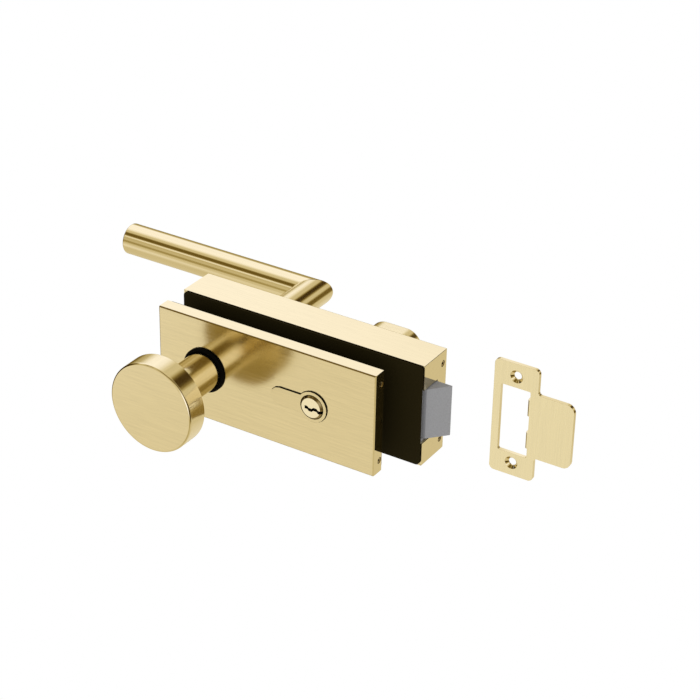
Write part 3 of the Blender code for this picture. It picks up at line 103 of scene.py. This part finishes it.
# Colours, linear
GOLD = (0.785, 0.690, 0.450)
GOLD_BACK = (0.62, 0.58, 0.39)     # the knob's underside, less polished
GOLD_STRIKE = (0.95, 0.88, 0.66)
PLUG_BRASS = (0.97, 0.90, 0.70)
PLUG_EDGE_SHADE = (0.32, 0.25, 0.12)     # painted shade: the bevel round the key plug, coloured dark as the shade of its recess
LATCH_GREY = (0.375, 0.375, 0.385)
PAD_BLACK = (0.022, 0.0165, 0.0048)
GAP_SHADE = (0.02, 0.016, 0.006)    # painted shade: the walls of the cylinder in its cut-out, coloured as dark as the shade there
NYLON_BLACK = (0.003, 0.003, 0.003)
STEEL = (0.55, 0.56, 0.60)
SCREW_GOLD = (0.60, 0.50, 0.30)
WHITE = (1.0, 1.0, 1.0, 1.0)
FLOOR_WHITE = (0.9, 0.9, 0.9, 1.0)

# Surface grain
FINE_STROKE = 0.00022              # widths of brush strokes
BROAD_STROKE = 0.0011
STROKE_LENGTH = 0.012              # of the fine ones
BROAD_STRETCH = 2.5                # the broad ones are this much longer
FINE_SHARE = 0.6                   # in the mix of both
UNROLL_RADIUS = 0.01               # strokes round an axis are laid out on this radius
METAL_GRAIN = 900.0                # noise scales
MATTE_GRAIN = 1500.0
NOISE_RANGE = (0.3, 0.7)           # where nearly all of a noise's values lie
STROKE_RANGE = (0.32, 0.68)
ROUGHNESS_SPREAD = 0.12            # of brushed metal, either way
RELIEF = 0.0001                    # depth of the grain

# The studio that the metal reflects
STUDIO_LEVEL = 0.773               # between the cards
STUDIO_DARKEST = 0.03
GREEN_TINT = (0.941, 1.21)         # share and power of the light: dim parts are warmer
BLUE_TINT = (0.82, 2.11)
FILL_LEVEL = 0.55                  # soft light on matte surfaces, from all round
FILL_CARD = (-50, -5, 10, 120, 0.45)   # and more of it from the front, laid out as the cards below
CARDS = [
    # azimuth from +X towards +Y, elevation, full within, gone beyond (degrees), light added or taken

    # Behind: seen in top faces and in all that is turned about Y, such as the knob and both necks
    (146, 40, 19, 37, 0.48),       # soft box, high on the left
    (61, 35, 4, 18, -0.72),        # flag, high on the right
    (130, -23, 3, 21, -0.42),      # flags, low on the left
    (136, -12, 4, 13, -0.22),
    (120, 4, 9, 24, -0.32),        # flag in the middle
    (90, -50, 8, 30, 0.11),        # card under it
    (48, -8, 5, 16, -0.60),        # flag on the right

    # Front left, from the top down: the bands along the lever's grip
    (-136, 44, 5, 14, -0.60),      # flag
    (-127, 30, 1, 5, 0.30),        # strip light
    (-124, 22, 1, 5, -0.10),       # thin gap
    (-128, 13, 2, 15, -0.08),      # faint flag
    (-122, 0, 1, 9, -0.33),        # flags at eye level
    (-137, -3, 2, 11, -0.45),
    (-134, -22, 3, 12, 0.22),      # card
    (-121, -34, 1, 14, 0.13),      # low card, seen in the front faces too

    # Front: seen in rounded front edges and in reflections of reflections
    (-46, 8, 12, 28, 0.42),        # soft card on the right
    (-76, -12, 10, 18, 0.80),      # bright card in the middle, low
    (-88, 46, 13, 25, -0.58),      # flag above it
    (-51, -25, 8, 19, -0.42),      # flags below both
    (-78, -48, 10, 28, -0.22),

    # Black screens on the right, high on the right, and on the left
    (-8, -2, 26, 37, -0.76),
    (-8, 48, 18, 30, -0.70),
    (180, 0, 29, 39, -0.76),
]


def socket(node, name, value):
    node.inputs[name].default_value = value


def new_material(name):
    material = bpy.data.materials.new(name)
    material.use_nodes = True
    tree = material.node_tree
    return material, tree, tree.nodes["Principled BSDF"]


def add(tree, kind, **settings):
    node = tree.nodes.new(kind)
    for key, value in settings.items():
        setattr(node, key, value)
    return node


def maths(tree, operation, a, b=None):
    node = add(tree, "ShaderNodeMath", operation=operation)
    for number, value in enumerate((a, b)):
        if value is None:
            continue
        if isinstance(value, (int, float)):
            node.inputs[number].default_value = value
        else:
            tree.links.new(value, node.inputs[number])
    return node.outputs[0]


def spread(tree, value, low, high, to_low, to_high):
    node = add(tree, "ShaderNodeMapRange", interpolation_type="SMOOTHSTEP")
    tree.links.new(value, node.inputs["Value"])
    for name, number in (("From Min", low), ("From Max", high), ("To Min", to_low), ("To Max", to_high)):
        socket(node, name, number)
    return node.outputs["Result"]


def strokes(tree, position, along, length, width):
    """Noise drawn out along one direction: fine brush strokes of a given length and width."""
    mapping = add(tree, "ShaderNodeMapping", vector_type="POINT")
    scale = [1 / width] * 3
    scale["XYZ".index(along)] = 1 / length
    socket(mapping, "Scale", scale)
    tree.links.new(position, mapping.inputs["Vector"])
    noise = add(tree, "ShaderNodeTexNoise", noise_dimensions="3D")
    socket(noise, "Scale", 1.0)
    socket(noise, "Detail", 3.0)
    socket(noise, "Roughness", 0.6)
    tree.links.new(mapping.outputs["Vector"], noise.inputs["Vector"])
    return noise.outputs["Fac"]


def round_position(tree, centre, axis):
    """Object position unrolled about an axis: angle times radius, distance along, radius."""
    texture = add(tree, "ShaderNodeTexCoord")
    shift = add(tree, "ShaderNodeVectorMath", operation="SUBTRACT")
    tree.links.new(texture.outputs["Object"], shift.inputs[0])
    shift.inputs[1].default_value = centre
    split = add(tree, "ShaderNodeSeparateXYZ")
    tree.links.new(shift.outputs[0], split.inputs[0])
    letters = [letter for letter in "XYZ" if letter != axis]
    a, b = (split.outputs[letter] for letter in letters)
    angle = maths(tree, "ARCTAN2", b, a)
    squares = maths(tree, "ADD", maths(tree, "MULTIPLY", a, a), maths(tree, "MULTIPLY", b, b))
    radius = maths(tree, "SQRT", squares)
    join = add(tree, "ShaderNodeCombineXYZ")
    tree.links.new(maths(tree, "MULTIPLY", angle, UNROLL_RADIUS), join.inputs["X"])
    tree.links.new(split.outputs[axis], join.inputs["Y"])
    tree.links.new(radius, join.inputs["Z"])
    return join.outputs[0]


def grained(tree, shader, height, bump):
    """Gives the surface a fine relief."""
    relief = add(tree, "ShaderNodeBump")
    socket(relief, "Strength", bump)
    socket(relief, "Distance", RELIEF)
    tree.links.new(height, relief.inputs["Height"])
    tree.links.new(relief.outputs["Normal"], shader.inputs["Normal"])


def tinted(tree, shader, colour, shade):
    """Lightens and darkens the base colour by a shade."""
    tint = add(tree, "ShaderNodeVectorMath", operation="SCALE")
    tint.inputs[0].default_value = colour
    tree.links.new(shade, tint.inputs["Scale"])
    tree.links.new(tint.outputs[0], shader.inputs["Base Color"])


def brushed(
    name, colour, roughness, along="X", centre=None, axis=None, bump=0.05, tone=0.05, length=STROKE_LENGTH,
):
    """Brushed metal. `along` is the stroke direction; with a centre and an axis the metal is turned."""
    material, tree, shader = new_material(name)
    socket(shader, "Metallic", 1.0)
    if centre is None:
        texture = add(tree, "ShaderNodeTexCoord")
        position = texture.outputs["Object"]
    else:
        position = round_position(tree, centre, axis)
    fine = strokes(tree, position, along, length, FINE_STROKE)
    broad = strokes(tree, position, along, length * BROAD_STRETCH, BROAD_STROKE)
    fine_part = maths(tree, "MULTIPLY", fine, FINE_SHARE)
    both = maths(tree, "ADD", fine_part, maths(tree, "MULTIPLY", broad, 1 - FINE_SHARE))
    tinted(tree, shader, colour, spread(tree, both, *STROKE_RANGE, 1 - tone, 1 + tone))
    ends = roughness * (1 - ROUGHNESS_SPREAD), roughness * (1 + ROUGHNESS_SPREAD)
    tree.links.new(spread(tree, both, *NOISE_RANGE, *ends), shader.inputs["Roughness"])
    grained(tree, shader, fine, bump)
    return material


def plain_metal(name, colour, roughness):
    material, tree, shader = new_material(name)
    socket(shader, "Metallic", 1.0)
    texture = add(tree, "ShaderNodeTexCoord")
    noise = add(tree, "ShaderNodeTexNoise")
    socket(noise, "Scale", METAL_GRAIN)
    tree.links.new(texture.outputs["Object"], noise.inputs["Vector"])
    socket(shader, "Base Color", (*colour, 1))
    uneven = spread(tree, noise.outputs["Fac"], *NOISE_RANGE, roughness * 0.85, roughness * 1.2)
    tree.links.new(uneven, shader.inputs["Roughness"])
    return material


def matte(name, colour, roughness, shine):
    """A matte surface with a fine grain."""
    material, tree, shader = new_material(name)
    socket(shader, "Roughness", roughness)
    socket(shader, "Specular IOR Level", shine)
    texture = add(tree, "ShaderNodeTexCoord")
    noise = add(tree, "ShaderNodeTexNoise")
    socket(noise, "Scale", MATTE_GRAIN)
    socket(noise, "Detail", 4.0)
    tree.links.new(texture.outputs["Object"], noise.inputs["Vector"])
    tinted(tree, shader, colour, spread(tree, noise.outputs["Fac"], *NOISE_RANGE, 0.94, 1.06))
    grained(tree, shader, noise.outputs["Fac"], 0.08)
    return material


def paint(material, *names):
    for name in names:
        slots = nodes[name].data.materials
        slots.clear()
        slots.append(material)


def numbered(prefix, count):
    return [f"{prefix}_{number}" for number in range(1, count + 1)]


def middle(name):
    low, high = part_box(name)
    return (low + high) / 2


def body_with(name):
    """The moving body that a node belongs to."""
    bodies = frame["record"]["behaviour"]["bodies"]
    return next(body for body, members in bodies.items() if name in members)


def stand_in(piece, name, materials=()):
    """The piece stands for a CAD node: it rides on its body and takes its materials, and the node is
    hidden.
    """
    bpy.context.scene.collection.objects.link(piece)
    for material in materials:
        piece.data.materials.append(material)
    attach(piece, body_with(name))
    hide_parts(name)
    return piece


def is_fold(face):
    low, high = FOLD
    return low <= abs(face.normal.y) <= high


def is_wall(face):
    return abs(face.normal.y) < FOLD[0]


def is_corner(face):
    return is_wall(face) and min(abs(face.normal.x), abs(face.normal.z)) > FOLD[0]


def even_folds(mesh):
    """Shades both steps of each fold as one slanted face, and every other face flat."""
    normals = []
    for face in mesh.polygons:
        normal = face.normal
        if is_fold(face):
            across = Vector((normal.x, 0, normal.z)).normalized()
            normal = (across + Vector((0, math.copysign(1, normal.y), 0))).normalized()
        normals += [tuple(normal)] * len(face.vertices)
    mesh.normals_split_custom_set(normals)


def round_corners(work, name):
    """Takes the sharpness off a cover's four corners, which run along Y."""
    low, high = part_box(name)
    corners = []
    for edge in work.edges:
        first, second = (vertex.co for vertex in edge.verts)
        level = abs(first.x - second.x) < WELD and abs(first.z - second.z) < WELD
        from_side = min(first.x - low.x, high.x - first.x)
        from_top = min(first.z - low.z, high.z - first.z)
        if level and from_side < WELD and from_top < WELD:
            corners.append(edge)
    bmesh.ops.bevel(work, geom=corners, offset=CORNER_ROUND, segments=1, affect="EDGES")


def refine(name, edge, second=None, walls=None, reshape=None):
    """A copy of a CAD node that stands for it: smooth-shaded, with its sharp edges rounded.

    All but its fronts and backs take the second material. With a material for walls it is a cover:
    then only folds and corners take the second one, and its faces stay flat.
    """
    mesh = nodes[name].data.copy()
    work = bmesh.new()
    work.from_mesh(mesh)
    bmesh.ops.remove_doubles(work, verts=work.verts[:], dist=WELD)
    bmesh.ops.dissolve_limit(work, angle_limit=MERGE_ANGLE, verts=work.verts[:], edges=work.edges[:])
    if reshape:
        for vertex in work.verts:
            reshape(vertex.co)
        work.normal_update()
    if walls:
        mesh.materials.append(second)
        mesh.materials.append(walls)
        round_corners(work, name)
        for face in work.faces:
            if is_fold(face) or is_corner(face):
                face.material_index = 1
            elif is_wall(face):
                face.material_index = 2
    elif second:
        mesh.materials.append(second)
        for face in work.faces:
            if abs(face.normal.y) <= FRONT:
                face.material_index = 1
    work.to_mesh(mesh)
    work.free()
    mesh.shade_smooth()
    if walls:
        even_folds(mesh)
    else:
        mesh.set_sharp_from_angle(angle=SHARP)
    piece = stand_in(bpy.data.objects.new(name + "_fine", mesh), name)
    if edge:
        bevel = piece.modifiers.new("edges", "BEVEL")
        bevel.width = edge
        bevel.segments = 3
        bevel.limit_method = "ANGLE"
        bevel.angle_limit = SHARP
        bevel.harden_normals = True
        if second:
            bevel.material = 1


def rounded(corners):
    """A profile of (radius, place, rounding) corners as (radius, place, on an edge) points."""
    path = []
    for number, (radius, place, rounding) in enumerate(corners):
        here = Vector((radius, place))
        if not rounding:
            path.append((radius, place, False))
            continue
        before = (Vector(corners[number - 1][:2]) - here).normalized()
        after = (Vector(corners[number + 1][:2]) - here).normalized()
        half = before.angle(after) / 2
        start = here + before * rounding / math.tan(half)
        end = here + after * rounding / math.tan(half)
        centre = here + (before + after).normalized() * rounding / math.sin(half)
        margin = rounding * EDGE_MARGIN
        path.append((*(start + before * margin), False))
        for step in range(EDGE_STEPS + 1):
            spoke = (start - centre).normalized().slerp((end - centre).normalized(), step / EDGE_STEPS)
            path.append((*(centre + spoke * rounding), True))
        path.append((*(end + after * margin), False))
    return path


def around():
    return [2 * math.pi * step / ROUND_STEPS for step in range(ROUND_STEPS)]


def skin(name, rings, kinds, materials):
    """A closed mesh over rings of points; kinds gives the material of each strip and of both ends."""
    work = bmesh.new()
    loops = [[work.verts.new(point) for point in ring] for ring in rings]
    for step, (first, second) in enumerate(zip(loops, loops[1:])):
        for number in range(len(first)):
            strip = (first[number - 1], first[number], second[number], second[number - 1])
            work.faces.new(strip).material_index = kinds[step]
    if rings[0] == rings[-1]:
        bmesh.ops.remove_doubles(work, verts=loops[0] + loops[-1], dist=WELD)
    else:
        for loop, kind in ((loops[0], kinds[0]), (loops[-1], kinds[-1])):
            work.faces.new(loop).material_index = kind
    bmesh.ops.recalc_face_normals(work, faces=work.faces[:])
    mesh = bpy.data.meshes.new(name + "_fine")
    work.to_mesh(mesh)
    work.free()
    mesh.shade_smooth()
    mesh.set_sharp_from_angle(angle=CRISP)
    return stand_in(bpy.data.objects.new(name + "_fine", mesh), name, materials)


def kinds_of(path):
    """Side, edge or face for each strip of a profile: 0, 1 or 2."""
    kinds = []
    for (radius_a, place_a, edge_a), (radius_b, place_b, edge_b) in zip(path, path[1:]):
        if edge_a and edge_b:
            kinds.append(1)
        else:
            kinds.append(0 if abs(place_b - place_a) > abs(radius_b - radius_a) else 2)
    return kinds


def spun(name, path):
    """Rings of a profile turned about the Y axis through its node's middle."""
    centre = middle(name)
    return [
        [(centre.x + radius * math.cos(a), place, centre.z + radius * math.sin(a)) for a in around()]
        for radius, place, _ in path
    ]


def make_knob(materials):
    low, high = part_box("knob")
    radius = (high.x - low.x) / 2
    back = low.y + KNOB_THICK
    neck_end = high.y + NECK_IN_COLLAR
    stud_low, stud_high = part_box("knob_stud")
    bore = (stud_high.x - stud_low.x) / 2 + CLEAR
    path = rounded([
        (radius / 2, low.y, 0),
        (radius, low.y, KNOB_EDGE),
        (radius, back, SMALL_EDGE),
        (KNOB_NECK_RADIUS, back, SMALL_EDGE),
        (KNOB_NECK_RADIUS, neck_end, SMALL_EDGE),
        (bore, neck_end, 0),
        (bore, stud_low.y - CLEAR, 0),
    ])
    kinds = kinds_of(path)
    # The head's back has a material of its own
    for number, (_, place, _) in enumerate(path[:-1]):
        if kinds[number] == 2 and place == back:
            kinds[number] = 3
    skin("knob", spun("knob", path), kinds, materials)


def make_ring(name, shoulder, outward, bore_radius, recess_radius, material):
    """The black ring round the knob's neck or the lever's: a proud rim and a spigot in the casing."""
    low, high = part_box(name)
    radius = (high.x - low.x) / 2
    proud_end, spigot_end = (low.y, high.y) if outward < 0 else (high.y, low.y)
    rings = spun(name, rounded([
        (radius, shoulder, 0),
        (radius, proud_end, COLLAR_EDGE),
        (recess_radius, proud_end, 0),
        (recess_radius, shoulder, 0),
        (bore_radius, shoulder, 0),
        (bore_radius, spigot_end, 0),
        (SPIGOT_RADIUS, spigot_end, 0),
        (SPIGOT_RADIUS, shoulder, 0),
    ]))
    skin(name, rings + rings[:1], [0] * len(rings), [material])


def drill_grub_hole(lever, x, radius):
    """Cuts the hole under the lever's neck that its grub screw sits in."""
    screw_low, screw_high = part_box("lever_grub_screw")
    y = (screw_low.y + screw_high.y) / 2
    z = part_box("spindle")[0].z - radius / 2
    work = bmesh.new()
    bmesh.ops.create_cone(
        work, cap_ends=True, segments=32, radius1=GRUB_HOLE_RADIUS, radius2=GRUB_HOLE_RADIUS,
        depth=radius, matrix=Matrix.Translation((x, y, z)),
    )
    drill = bpy.data.meshes.new("drill")
    work.to_mesh(drill)
    work.free()
    cutter = bpy.data.objects.new("drill", drill)
    bpy.context.scene.collection.objects.link(cutter)
    cut = lever.modifiers.new("grub_hole", "BOOLEAN")
    cut.object = cutter
    cut.solver = "EXACT"
    graph = bpy.context.evaluated_depsgraph_get()
    drilled = bpy.data.meshes.new_from_object(lever.evaluated_get(graph))
    lever.modifiers.clear()
    lever.data = drilled
    drilled.set_sharp_from_angle(angle=CRISP)
    bpy.data.objects.remove(cutter)


def make_lever(materials):
    """Two tubes that meet in a mitre with a fine groove, then the journal and its square socket."""
    low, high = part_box("lever_handle")
    spindle_low, spindle_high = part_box("spindle")
    radius = (high.z - low.z) / 2
    centre = Vector((high.x - radius, high.y - radius, (low.z + high.z) / 2))
    half_socket = (spindle_high.x - spindle_low.x) / 2 + CLEAR
    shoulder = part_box("lever_bush")[1].y + CLEAR

    def grip(r, x, slope=0):
        return [
            (x + slope * r * math.cos(a), centre.y + r * math.cos(a), centre.z + r * math.sin(a))
            for a in around()
        ]

    def neck(r, y, slope=0):
        return [
            (centre.x + r * math.cos(a), y + slope * r * math.cos(a), centre.z + r * math.sin(a))
            for a in around()
        ]

    def socket_ring(y):
        reach = [half_socket / max(abs(math.cos(a)), abs(math.sin(a))) for a in around()]
        return [
            (centre.x + r * math.cos(a), y, centre.z + r * math.sin(a)) for a, r in zip(around(), reach)
        ]

    free = rounded([(radius / 2, low.x, 0), (radius, low.x, LEVER_EDGE), (radius, low.x + radius, 0)])
    foot = rounded([
        (radius, shoulder + radius, 0),
        (radius, shoulder, SMALL_EDGE),
        (LEVER_JOURNAL_RADIUS, shoulder, 0),
    ])
    rings = [grip(r, x) for r, x, _ in free]
    rings += [
        grip(radius, centre.x - MITRE_GROOVE, 1),
        grip(radius - MITRE_GROOVE, centre.x, 1),
        neck(radius, centre.y - MITRE_GROOVE, 1),
    ]
    rings += [neck(r, y) for r, y, _ in foot]
    rings += [neck(LEVER_JOURNAL_RADIUS, low.y), socket_ring(low.y), socket_ring(spindle_high.y + CLEAR)]
    kinds = kinds_of(free) + [0, 1, 1]           # the grip, then the groove's two sides
    kinds += [3] * (len(rings) - 1 - len(kinds))
    lever = skin("lever_handle", rings, kinds, materials)
    drill_grub_hole(lever, centre.x, radius)


def make_thumb_turn(materials):
    low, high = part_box("thumb_turn")
    shaft_low, shaft_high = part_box("turn_shaft")
    centre = (low + high) / 2
    start = high.y - TURN_DEPTH
    half = (high.z - low.z) / 2
    reach = (high.x - low.x) / 2 - half
    bore = (shaft_high.x - shaft_low.x) / 2 + CLEAR

    def oval(radius, y):
        return [(
            centre.x + math.copysign(reach, math.cos(a)) + radius * math.cos(a),
            y,
            centre.z + radius * math.sin(a),
        ) for a in tilted]

    def circle(radius, y):
        return [(centre.x + radius * math.cos(a), y, centre.z + radius * math.sin(a)) for a in tilted]

    half_step = math.pi / ROUND_STEPS
    tilted = [a + half_step for a in around()]
    grip = rounded([
        (half / 2, high.y, 0),
        (half, high.y, TURN_EDGE),
        (half, start, TURN_EDGE),
        (TURN_NECK_RADIUS, start, 0),
    ])
    rings = [oval(r, y) for r, y, _ in grip[:-1]]
    kinds = kinds_of(grip)
    neck = [
        (TURN_NECK_RADIUS, start),
        (TURN_NECK_RADIUS, low.y),
        (bore, low.y),
        (bore, shaft_high.y + CLEAR),
    ]
    rings += [circle(r, y) for r, y in neck]
    kinds += [0] * (len(neck) - 1)
    skin("thumb_turn", rings, kinds, materials)


def make_materials():
    """Paints the solids and returns the materials of the modelled pieces."""
    knob = middle("knob")
    lever_low, lever_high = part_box("lever_handle")
    lever_radius = (lever_high.z - lever_low.z) / 2
    grip = Vector((0, lever_high.y - lever_radius, 0))
    face = brushed("gold_flat", GOLD, 0.16, "X", tone=0.06)
    edge = plain_metal("gold_edge", GOLD, 0.04)
    paint(face, "front_cover", "rear_cover")
    paint(brushed("gold_strike", GOLD_STRIKE, 0.25, "Z"), "strike_plate")
    paint(brushed("gold_cylinder", GOLD, 0.22, "X"), "cylinder_body")
    paint(plain_metal("plug_brass", PLUG_BRASS, 0.12), "key_plug", "cam_gear", "draw_carriage")
    paint(matte("latch_grey", LATCH_GREY, 0.6, shine=0.2), "latch_bolt", "chassis")
    paint(matte("pad_black", PAD_BLACK, 0.7, shine=0.03), "front_pad", "rear_pad")
    nylon = matte("nylon_black", NYLON_BLACK, 0.5, shine=0.03)
    paint(nylon, *numbered("glass_sleeve", 4))
    paint(
        plain_metal("bright_steel", STEEL, 0.28),
        "front_clamp_plate", "chassis_lid", "knob_stud", "spindle", "follower", "latch_pin", "draw_bar",
        "cylinder_screw", "turn_shaft", "latch_spring", "follower_spring", "carriage_spring",
        *numbered("clamp_screw", 4), *numbered("lid_screw", 4),
        *numbered("key_pin", 5), *numbered("driver_pin", 5),
    )
    paint(
        plain_metal("screw_gold", SCREW_GOLD, 0.3), "lever_grub_screw",
        *numbered("front_cover_grub_screw", 4), *numbered("rear_cover_grub_screw", 4),
    )
    turned = brushed("gold_knob_side", GOLD, 0.14, "Y", knob, "Y", bump=0.02)
    return {
        "knob": [turned, edge, face, brushed("gold_back", GOLD_BACK, 0.2, "X")],
        "lever": [
            brushed("gold_grip", GOLD, 0.09, "Y", grip, "X", bump=0.02, length=0.03),
            edge, face, turned,
        ],
        "turn": [face, edge, face],
        "nylon": nylon,
        "edge": edge,
        "fold": plain_metal("gold_fold", GOLD, 0.12),
        "wall": brushed("gold_wall", GOLD, 0.05, "X", bump=0.02, tone=0.04),
        # painted shade: the cylinder's walls in its cut-out
        "gap_shade": matte("gap_painted_shade", GAP_SHADE, 0.8, shine=0.0),
        # painted shade: the key plug's bevel in the dark colour of its recess's shade
        "bevel": plain_metal("plug_edge_painted_shade", PLUG_EDGE_SHADE, 0.2),
    }


def make_pieces(materials):
    make_knob(materials["knob"])
    make_lever(materials["lever"])
    make_thumb_turn(materials["turn"])
    stud_low, stud_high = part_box("knob_stud")
    stud_bore = (stud_high.x - stud_low.x) / 2 + CLEAR
    cover_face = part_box("front_cover")[0].y
    nylon = materials["nylon"]
    make_ring("knob_collar", cover_face - CLEAR, -1, stud_bore, KNOB_NECK_RADIUS + CLEAR, nylon)
    bush_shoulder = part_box("rear_cover")[1].y + CLEAR
    journal_bore = LEVER_JOURNAL_RADIUS + CLEAR
    make_ring("lever_bush", bush_shoulder, 1, journal_bore, journal_bore + CLEAR, nylon)

    def proud_cylinder(point):
        if abs(point.y - cover_face) < CLEAR:
            point.y -= CYLINDER_PROUD

    cover = {"second": materials["fold"], "walls": materials["wall"]}
    settings = {
        "front_cover": cover,
        "rear_cover": cover,
        "strike_plate": {"second": materials["edge"]},
        # painted shade: the cylinder's walls take the dark colour of the shade in its cut-out
        "cylinder_body": {"second": materials["gap_shade"], "reshape": proud_cylinder},
        # painted shade: the key plug's bevel is coloured dark for the shade of its recess
        "key_plug": {"second": materials["bevel"]},
    }
    for name, edge in SHOWN_EDGES.items():
        refine(name, edge, **settings.get(name, {}))


def make_camera():
    back = Vector((math.sin(YAW) * math.cos(PITCH), -math.cos(YAW) * math.cos(PITCH), math.sin(PITCH)))
    level = back.cross(Vector((0, 0, -1))).normalized()
    upright = back.cross(level)
    right = level * math.cos(ROLL) + upright * math.sin(ROLL)
    up = upright * math.cos(ROLL) - level * math.sin(ROLL)
    camera = bpy.data.cameras.new("camera")
    camera.sensor_width = SENSOR
    camera.lens = FOCAL_PIXELS * SENSOR / FRAME_PIXELS
    camera.clip_start = 0.01
    thing = bpy.data.objects.new("camera", camera)
    turn = Matrix((right, up, back)).transposed().to_4x4()
    thing.matrix_world = Matrix.Translation(EYE) @ turn
    bpy.context.scene.collection.objects.link(thing)
    bpy.context.scene.camera = thing


def direction(azimuth, elevation):
    a = math.radians(azimuth)
    e = math.radians(elevation)
    return Vector((math.cos(a) * math.cos(e), math.sin(a) * math.cos(e), math.sin(e)))


def lobe(tree, way, azimuth, elevation, full, none, amount):
    """Light or shade round one direction: whole within `full` degrees of it, gone at `none` degrees."""
    dot = add(tree, "ShaderNodeVectorMath", operation="DOT_PRODUCT")
    tree.links.new(way, dot.inputs[0])
    dot.inputs[1].default_value = direction(azimuth, elevation)
    gone, whole = (math.cos(math.radians(angle)) for angle in (none, full))
    return spread(tree, dot.outputs["Value"], gone, whole, 0, amount)


def make_world():
    """White to the camera, a studio of cards and flags to metal, a soft light to matte surfaces."""
    world = bpy.data.worlds.new("studio")
    bpy.context.scene.world = world
    world.use_nodes = True
    tree = world.node_tree
    tree.nodes.clear()
    texture = add(tree, "ShaderNodeTexCoord")
    way = texture.outputs["Generated"]
    total = STUDIO_LEVEL
    for card in CARDS:
        total = maths(tree, "ADD", lobe(tree, way, *card), total)
    light = maths(tree, "MAXIMUM", total, STUDIO_DARKEST)
    join = add(tree, "ShaderNodeCombineColor")
    tree.links.new(light, join.inputs[0])
    for channel, (share, power) in enumerate((GREEN_TINT, BLUE_TINT), start=1):
        dimmed = maths(tree, "MULTIPLY", maths(tree, "POWER", light, power), share)
        tree.links.new(dimmed, join.inputs[channel])
    studio = add(tree, "ShaderNodeBackground")
    tree.links.new(join.outputs[0], studio.inputs["Color"])
    soft = add(tree, "ShaderNodeBackground")
    fill = maths(tree, "ADD", lobe(tree, way, *FILL_CARD), FILL_LEVEL)
    tree.links.new(fill, soft.inputs["Strength"])
    white = add(tree, "ShaderNodeBackground")
    for plain in (soft, white):
        socket(plain, "Color", WHITE)
    path = add(tree, "ShaderNodeLightPath")
    gloss = add(tree, "ShaderNodeMixShader")
    tree.links.new(path.outputs["Is Glossy Ray"], gloss.inputs["Fac"])
    tree.links.new(soft.outputs[0], gloss.inputs[1])
    tree.links.new(studio.outputs[0], gloss.inputs[2])
    choose = add(tree, "ShaderNodeMixShader")
    tree.links.new(path.outputs["Is Camera Ray"], choose.inputs["Fac"])
    tree.links.new(gloss.outputs[0], choose.inputs[1])
    tree.links.new(white.outputs[0], choose.inputs[2])
    output = add(tree, "ShaderNodeOutputWorld")
    tree.links.new(choose.outputs[0], output.inputs["Surface"])


def make_floor():
    """A large pale floor, far below, which reads white to the camera."""
    half = FLOOR_SIDE / 2
    mesh = bpy.data.meshes.new("floor")
    corners = [(x * half, y * half, -FLOOR_DROP) for x, y in ((-1, -1), (1, -1), (1, 1), (-1, 1))]
    mesh.from_pydata(corners, [], [(0, 1, 2, 3)])
    floor = bpy.data.objects.new("floor", mesh)
    bpy.context.scene.collection.objects.link(floor)
    material, tree, shader = new_material("floor_white")
    socket(shader, "Base Color", FLOOR_WHITE)
    socket(shader, "Roughness", 0.9)
    socket(shader, "Specular IOR Level", 0.0)
    glow = add(tree, "ShaderNodeEmission")
    path = add(tree, "ShaderNodeLightPath")
    choose = add(tree, "ShaderNodeMixShader")
    tree.links.new(path.outputs["Is Camera Ray"], choose.inputs["Fac"])
    tree.links.new(shader.outputs[0], choose.inputs[1])
    tree.links.new(glow.outputs[0], choose.inputs[2])
    tree.links.new(choose.outputs[0], tree.nodes["Material Output"].inputs["Surface"])
    mesh.materials.append(material)
    floor.visible_glossy = False


make_pieces(make_materials())
make_floor()
make_camera()
make_world()
bpy.context.scene.view_settings.view_transform = "Standard"
